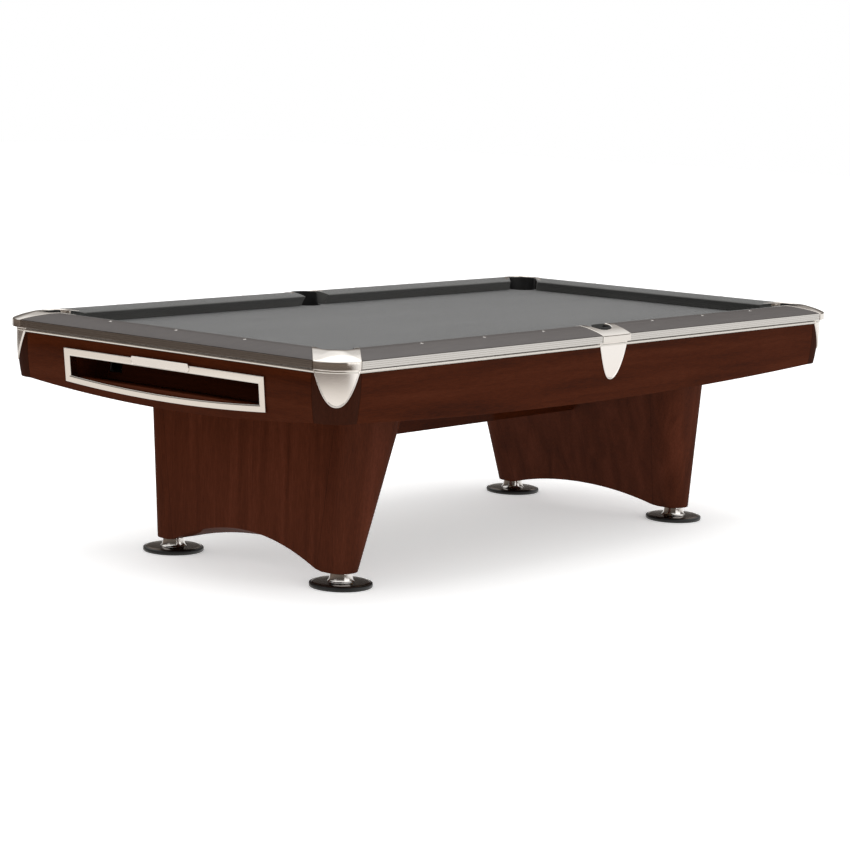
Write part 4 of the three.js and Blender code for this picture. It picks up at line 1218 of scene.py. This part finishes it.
def make_base_frame():
    """The deep veneered beam between the pedestals, beside the timber frame that stays as built."""
    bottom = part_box("support_frame")[0].z / MM
    top, half_thick, gap = 609.0, 20.4, 2
    top_half = PLANE_X - FOOT_TO_FACE - gap - PEDESTAL_LEAN * (PEDESTAL_TOP - PEDESTAL_BOTTOM)
    low_half = PLANE_X - FOOT_TO_FACE - gap - PEDESTAL_LEAN * (bottom - PEDESTAL_BOTTOM)
    low = bottom - 0.6
    corners = [(-top_half, top), (-low_half, low), (low_half, low), (top_half, top)]
    rows = [[(x, y, z) for x, z in corners] for y in (-half_thick, half_thick)]
    shape = Shape().grid(rows, wrap_columns=True).face(rows[0]).face(rows[1])
    beam = shape.to_object("veneered_beam", Finishes.get("wood_long"), bevel=1.5, sharp=40)
    settle(beam, "table", "wood")


# ---- Geometry nodes for what repeats ----
def run_tree(name, tree, values, points, edges=(), attributes=()):
    """Runs a node tree on a plain mesh of points and edges, and returns the result as an object.

    attributes pairs a name with one vector for each point."""
    seed = bpy.data.meshes.new(f"{name}_path")
    seed.from_pydata([tuple(v * MM for v in p) for p in points], list(edges), [])
    for label, vectors in attributes:
        store = seed.attributes.new(label, "FLOAT_VECTOR", "POINT")
        for item, vector in zip(store.data, vectors):
            item.vector = vector
    carrier = bpy.data.objects.new(f"{name}_carrier", seed)
    bpy.context.scene.collection.objects.link(carrier)
    run = carrier.modifiers.new("Pattern", "NODES")
    run.node_group = tree
    for item in tree.interface.items_tree:
        if item.item_type == "SOCKET" and item.in_out == "INPUT" and item.name in values:
            run[item.identifier] = values[item.name]
    bpy.context.view_layer.update()
    evaluated = carrier.evaluated_get(bpy.context.evaluated_depsgraph_get())
    mesh = bpy.data.meshes.new_from_object(evaluated)
    mesh.name = name
    carrier.modifiers.remove(run)
    bpy.data.objects.remove(carrier)
    piece = bpy.data.objects.new(name, mesh)
    bpy.context.scene.collection.objects.link(piece)
    return piece


def new_tree(name, inputs):
    """A node tree with its named inputs, and its input and output nodes."""
    tree = bpy.data.node_groups.new(name, "GeometryNodeTree")
    tree.interface.new_socket("Geometry", in_out="INPUT", socket_type="NodeSocketGeometry")
    for label, kind, default in inputs:
        socket = tree.interface.new_socket(label, in_out="INPUT", socket_type=kind)
        socket.default_value = default
    tree.interface.new_socket("Geometry", in_out="OUTPUT", socket_type="NodeSocketGeometry")
    return tree, tree.nodes.new("NodeGroupInput"), tree.nodes.new("NodeGroupOutput")


def finish_tree(tree, geometry, outlet, material):
    """Ends a tree in Realize Instances and Set Material."""
    real = node(tree, "GeometryNodeRealizeInstances", [("Geometry", geometry)])
    paint = node(tree, "GeometryNodeSetMaterial", [("Geometry", real.outputs["Geometry"])])
    paint.inputs["Material"].default_value = material
    tree.links.new(paint.outputs["Geometry"], outlet.inputs["Geometry"])


def trim_tree(material):
    """Sweeps a flat bar along a path. The fine lines and the painted groove shadows along it are in its
    finish.
    """
    sizes = [("Height", "NodeSocketFloat", 0.025), ("Thickness", "NodeSocketFloat", 0.003)]
    tree, source, outlet = new_tree("Trim bar", sizes)
    path = node(tree, "GeometryNodeMeshToCurve", [("Mesh", source.outputs["Geometry"])])
    upright = node(tree, "GeometryNodeSetCurveNormal", [("Curve", path.outputs["Curve"])], mode="Z_UP")
    section = [("Width", source.outputs["Thickness"]), ("Height", source.outputs["Height"])]
    bar = node(tree, "GeometryNodeCurvePrimitiveQuadrilateral", section)
    dense = node(tree, "GeometryNodeResampleCurve", [("Curve", bar.outputs["Curve"])], Count=220)
    sweep = [("Curve", upright.outputs["Curve"]), ("Profile Curve", dense.outputs["Curve"])]
    swept = node(tree, "GeometryNodeCurveToMesh", sweep)
    swept.inputs["Fill Caps"].default_value = True
    finish_tree(tree, swept.outputs["Mesh"], outlet, material)
    return tree


def make_trims():
    middle = (TRIM_TOP + TRIM_BOTTOM) / 2
    values = {"Height": (TRIM_TOP - TRIM_BOTTOM) * MM, "Thickness": TRIM_THICKNESS * MM}
    for side in TURNS:
        long_side = side in ("left", "right")
        tree = trim_tree(Finishes.get("trim_long_painted_brighter" if long_side else "trim_end"))
        limit = reach(side) - CORNER_HALF * math.sqrt(2) - TRIM_THICKNESS
        cap = 82.0
        spans = [(-limit, -cap), (cap, limit)] if long_side else [(-limit, limit)]
        points, edges = [], []
        for low, high in spans:
            start = len(points)
            for along in (low, low + (high - low) / 2, high):
                points.append(on_side(side, along, TRIM_THICKNESS / 2, middle))
            edges += [(start, start + 1), (start + 1, start + 2)]
        trim = run_tree(f"reeded_trim_{side}", tree, values, points, edges)
        trim.data.shade_smooth()
        trim.data.set_sharp_from_angle(angle=math.radians(50))
        settle(trim, "table", "trim", f"trim_{side}")


SIGHT_DOME = 0.0009  # in metres


def sight_tree(material):
    """Puts a low domed disc on every point, tipped to lie on the rail."""
    sizes = [("Diameter", "NodeSocketFloat", 0.011), ("Dome", "NodeSocketFloat", SIGHT_DOME)]
    tree, source, outlet = new_tree("Rail sights", sizes)
    radius = calc(tree, "MULTIPLY", source.outputs["Diameter"], 0.5)
    top = calc(tree, "MULTIPLY", radius, 0.86)
    disc = node(
        tree, "GeometryNodeMeshCone",
        [("Radius Bottom", radius), ("Radius Top", top), ("Depth", source.outputs["Dome"])],
        Vertices=24,
    )
    tilt = node(tree, "GeometryNodeInputNamedAttribute", data_type="FLOAT_VECTOR", Name="tilt")
    put = node(
        tree, "GeometryNodeInstanceOnPoints",
        [
            ("Points", source.outputs["Geometry"]),
            ("Instance", disc.outputs["Mesh"]),
            ("Rotation", tilt.outputs["Attribute"]),
        ],
    )
    finish_tree(tree, put.outputs["Instances"], outlet, material)
    return tree


def make_sights():
    """Round metal sights on the rails, an eighth of the playing length apart."""
    sizes = bpy.context.scene.pool_table_sizes
    pitch = (HALF_LENGTH - RAIL_WIDTH) * 2 / 8
    inwards = RAIL_WIDTH - 86
    slope = math.atan2(rail_height(inwards + 2) - rail_height(inwards - 2), 4)
    points, tilts = [], []
    for side in TURNS:
        places = (-3, -2, -1, 1, 2, 3) if side in ("left", "right") else (-1, 0, 1)
        for i in places:
            points.append(on_side(side, i * pitch, inwards, rail_height(inwards) + 0.35))
            turn = Matrix.Rotation(math.radians(TURNS[side]), 3, "Z") @ Matrix.Rotation(-slope, 3, "X")
            tilts.append(tuple(turn.to_euler()))
    values = {"Diameter": sizes.sight_diameter, "Dome": sizes.sight_dome}
    tree = sight_tree(Finishes.get("chrome"))
    sights = run_tree("rail_sights", tree, values, points, attributes=[("tilt", tilts)])
    settle(sights, "table", "casting")


def finish_frame_nodes():
    """Gives the CAD nodes that stay in view their materials."""
    finishes = {
        "slate_foot": "slate",
        "slate_middle": "slate",
        "slate_head": "slate",
        "support_frame": "timber",
        "ball_trough": "plastic",
        "ball_box": "wood_end",
    }
    for name, finish in finishes.items():
        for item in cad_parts[name].material_slots:
            item.material = Finishes.get(finish)


# ---- Stage ----
# What polished faces see of the room, from straight down, through the horizon, to straight up:
# towards the head end, and towards the foot end.
HEAD_SHADES = [
    (0.0, "#c8c2bc"), (0.3, "#f6f2ee"), (0.5, "#ffffff"), (0.55, "#a8a29c"), (0.575, "#3a3532"),
    (0.62, "#504a46"), (0.68, "#9e9994"), (0.76, "#ffffff"), (1.0, "#ffffff"),
]
FOOT_SHADES = [
    (0.0, "#c8c2bc"), (0.3, "#fffcf8"), (0.395, "#f0e9e2"), (0.425, "#3a3029"), (0.5, "#7a6e64"),
    (0.6, "#3a3430"), (0.68, "#6a635c"), (0.76, "#ffffff"), (1.0, "#ffffff"),
]


def pale_room():
    """A white room that lights the table evenly, and shows in its polished faces as a dim studio."""
    world = bpy.data.worlds.new("Pale room")
    world.use_nodes = True
    tree = world.node_tree
    room = tree.nodes["Background"]
    place = node(tree, "ShaderNodeTexCoord").outputs["Generated"]
    up = [("Value", axis_of(tree, place, "Z"))]
    height = node(tree, "ShaderNodeMapRange", up, From_Min=-1.0, From_Max=1.0).outputs["Result"]
    towards_head = [("Value", axis_of(tree, place, "X"))]
    ends = node(tree, "ShaderNodeMapRange", towards_head, From_Min=0.0, From_Max=0.5)
    mix = node(tree, "ShaderNodeMix", data_type="RGBA")
    factor, foot_shade, head_shade, mixed = mix.inputs[0], mix.inputs[6], mix.inputs[7], mix.outputs[2]
    tree.links.new(ends.outputs["Result"], factor)
    tree.links.new(ramp(tree, height, FOOT_SHADES), foot_shade)
    tree.links.new(ramp(tree, height, HEAD_SHADES), head_shade)
    tree.links.new(mixed, room.inputs["Color"])
    room.inputs["Strength"].default_value = 1.12
    white = node(tree, "ShaderNodeBackground", Color=(1.0, 1.0, 1.0, 1.0), Strength=1.0)
    path = node(tree, "ShaderNodeLightPath")
    links = [(0, path.outputs["Is Glossy Ray"]), (1, white.outputs[0]), (2, room.outputs[0])]
    both = node(tree, "ShaderNodeMixShader", links)
    tree.links.new(both.outputs[0], tree.nodes["World Output"].inputs["Surface"])
    bpy.context.scene.world = world


def soft_light(name, place, target, size, power):
    """A softbox at a place, turned to face a target."""
    light = bpy.data.lights.new(name, "AREA")
    light.shape = "RECTANGLE"
    light.size, light.size_y = size
    light.energy = power
    lamp = bpy.data.objects.new(name, light)
    lamp.location = place
    lamp.rotation_euler = (Vector(target) - Vector(place)).to_track_quat("-Z", "Y").to_euler()
    bpy.context.scene.collection.objects.link(lamp)


CAMERA_PLACE = (-7.037178, -5.936506, 1.752156)
CAMERA_TURN, CAMERA_FALL, CAMERA_ROLL = -0.864353, 0.144996, 0.031385  # in radians
SENSOR_WIDTH = 36.0  # in millimetres, as the lens is
LENS = 106.0333412


def make_camera():
    """A long lens just above the table's height, off the foot end's right corner."""
    turn, fall, roll = CAMERA_TURN, CAMERA_FALL, CAMERA_ROLL
    level = math.cos(fall)
    forward = Vector((-math.sin(turn) * level, math.cos(turn) * level, -math.sin(fall)))
    flat = Vector((math.cos(turn), math.sin(turn), 0))
    up = flat.cross(forward)
    right = math.cos(roll) * flat + math.sin(roll) * up
    upright = -math.sin(roll) * flat + math.cos(roll) * up
    data = bpy.data.cameras.new("Camera")
    data.sensor_width = SENSOR_WIDTH
    data.lens = LENS
    data.clip_end = 100.0
    camera = bpy.data.objects.new("Camera", data)
    bpy.context.scene.collection.objects.link(camera)
    axes = Matrix((right, upright, -forward)).transposed().to_4x4()
    camera.matrix_world = Matrix.Translation(Vector(CAMERA_PLACE)) @ axes
    bpy.context.scene.camera = camera


FLOOR_HALF = 30.0
FLOOR_DROP = 0.0005  # keeps the floor clear of the feet


def make_floor():
    """A matt white floor that glows a little, so that only a faint shadow is left on it."""
    half = FLOOR_HALF
    corners = [(-half, -half, 0), (half, -half, 0), (half, half, 0), (-half, half, 0)]
    mesh = bpy.data.meshes.new("floor")
    mesh.from_pydata(corners, [], [(0, 1, 2, 3)])
    floor = bpy.data.objects.new("floor", mesh)
    bpy.context.scene.collection.objects.link(floor)
    material, _, shader, _ = new_material("Matt white studio floor", "#fbfbfb", roughness=0.95)
    shader.inputs["Emission Color"].default_value = (1.0, 1.0, 1.0, 1.0)
    shader.inputs["Emission Strength"].default_value = 0.35
    mesh.materials.append(material)
    floor.location.z = -FLOOR_DROP
    floor.visible_glossy = False


def make_stage():
    make_floor()
    pale_room()
    soft_light("Overhead softbox", (0, 0, 4.2), (0, 0, 0.8), (6.0, 4.0), 60)
    soft_light("Side softbox", (1.0, -6.5, 2.2), (0, 0, 0.7), (7.0, 2.6), 80)
    soft_light("End softbox", (-7.0, 1.0, 2.6), (0, 0, 0.7), (3.0, 2.2), 8)
    bpy.context.scene.view_settings.view_transform = "Standard"


# ---- Add-on ----
class PoolTableSizes(bpy.types.PropertyGroup):
    """Sizes that a maker would change."""

    sight_diameter: bpy.props.FloatProperty(
        name="Sight diameter", description="Across each round sight", default=0.0115, unit="LENGTH"
    )
    sight_dome: bpy.props.FloatProperty(
        name="Sight dome", description="Height of each sight", default=SIGHT_DOME, unit="LENGTH"
    )


class PoolTableFinish(bpy.types.PropertyGroup):
    """Colours that a maker would change, as sRGB hex."""

    cloth: bpy.props.StringProperty(
        name="Cloth", description="Middle of the bed cloth's colour", default="#464645"
    )
    stain: bpy.props.StringProperty(
        name="Stain", description="Middle of the veneer's colour", default="#391709"
    )
    stain_dark: bpy.props.StringProperty(
        name="Dark grain", description="Darkest grain", default="#270f07"
    )
    stain_light: bpy.props.StringProperty(
        name="Light grain", description="Lightest grain", default="#452011"
    )


class StageOperator(bpy.types.Operator):
    """Makes the floor, lights and camera"""

    bl_idname = "pool_table.stage"
    bl_label = "Stage"

    def execute(self, context):
        make_camera()
        make_stage()
        return {"FINISHED"}


class BedOperator(bpy.types.Operator):
    """Stretches the cloth over the slate"""

    bl_idname = "pool_table.bed"
    bl_label = "Bed cloth"

    def execute(self, context):
        make_bed()
        return {"FINISHED"}


class RailsOperator(bpy.types.Operator):
    """Makes the laminated rails and their cushions"""

    bl_idname = "pool_table.rails"
    bl_label = "Rails and cushions"

    def execute(self, context):
        make_rails()
        make_cushions()
        return {"FINISHED"}


class CapsOperator(bpy.types.Operator):
    """Casts the caps round the six pockets"""

    bl_idname = "pool_table.caps"
    bl_label = "Pocket caps"

    def execute(self, context):
        make_corner_caps()
        make_side_caps()
        return {"FINISHED"}


class ShieldsOperator(bpy.types.Operator):
    """Makes the rimmed plates under the caps"""

    bl_idname = "pool_table.shields"
    bl_label = "Plates"

    def execute(self, context):
        make_shields()
        return {"FINISHED"}


class TrimOperator(bpy.types.Operator):
    """Sweeps the metal trim and the bead round the table"""

    bl_idname = "pool_table.trim"
    bl_label = "Trim and bead"

    def execute(self, context):
        make_trims()
        make_beads()
        return {"FINISHED"}


class SightsOperator(bpy.types.Operator):
    """Sets the sights into the rails"""

    bl_idname = "pool_table.sights"
    bl_label = "Sights"

    def execute(self, context):
        make_sights()
        return {"FINISHED"}


class CabinetOperator(bpy.types.Operator):
    """Makes the curved cabinet sides and corners"""

    bl_idname = "pool_table.cabinet"
    bl_label = "Cabinet"

    def execute(self, context):
        make_aprons()
        make_corner_blocks()
        return {"FINISHED"}


class BallReturnOperator(bpy.types.Operator):
    """Makes the ball opening's frame, its blank nameplate and the rubber pockets"""

    bl_idname = "pool_table.ball_return"
    bl_label = "Ball return"

    def execute(self, context):
        make_ball_frame()
        make_nameplate()
        make_liners()
        return {"FINISHED"}


class BaseOperator(bpy.types.Operator):
    """Makes the pedestals, the beam and the levelling feet"""

    bl_idname = "pool_table.base"
    bl_label = "Base"

    def execute(self, context):
        make_pedestals()
        make_base_frame()
        make_feet()
        return {"FINISHED"}


class FrameOperator(bpy.types.Operator):
    """Finishes the frame's own pieces that stay in view"""

    bl_idname = "pool_table.frame"
    bl_label = "Frame finishes"

    def execute(self, context):
        finish_frame_nodes()
        return {"FINISHED"}


OPERATORS = (
    StageOperator,
    BedOperator,
    RailsOperator,
    CapsOperator,
    ShieldsOperator,
    TrimOperator,
    SightsOperator,
    CabinetOperator,
    BallReturnOperator,
    BaseOperator,
    FrameOperator,
)


class PoolTablePanel(bpy.types.Panel):
    """Lists the table's operators and sizes"""

    bl_idname = "VIEW3D_PT_pool_table"
    bl_label = "Pool Table"
    bl_space_type = "VIEW_3D"
    bl_region_type = "UI"
    bl_category = "Pool Table"

    def draw(self, context):
        column = self.layout.column()
        for group in (context.scene.pool_table_sizes, context.scene.pool_table_finish):
            for name in group.__annotations__:
                column.prop(group, name)
        for operator in OPERATORS:
            column.operator(operator.bl_idname)


CLASSES = (PoolTableSizes, PoolTableFinish, *OPERATORS, PoolTablePanel)


def register():
    for made in CLASSES:
        bpy.utils.register_class(made)
    bpy.types.Scene.pool_table_sizes = bpy.props.PointerProperty(type=PoolTableSizes)
    bpy.types.Scene.pool_table_finish = bpy.props.PointerProperty(type=PoolTableFinish)


def unregister():
    del bpy.types.Scene.pool_table_finish
    del bpy.types.Scene.pool_table_sizes
    for made in reversed(CLASSES):
        bpy.utils.unregister_class(made)


def main():
    register()
    for operator in OPERATORS:
        section, name = operator.bl_idname.split(".")
        getattr(getattr(bpy.ops, section), name)()


if __name__ == "__main__":
    main()
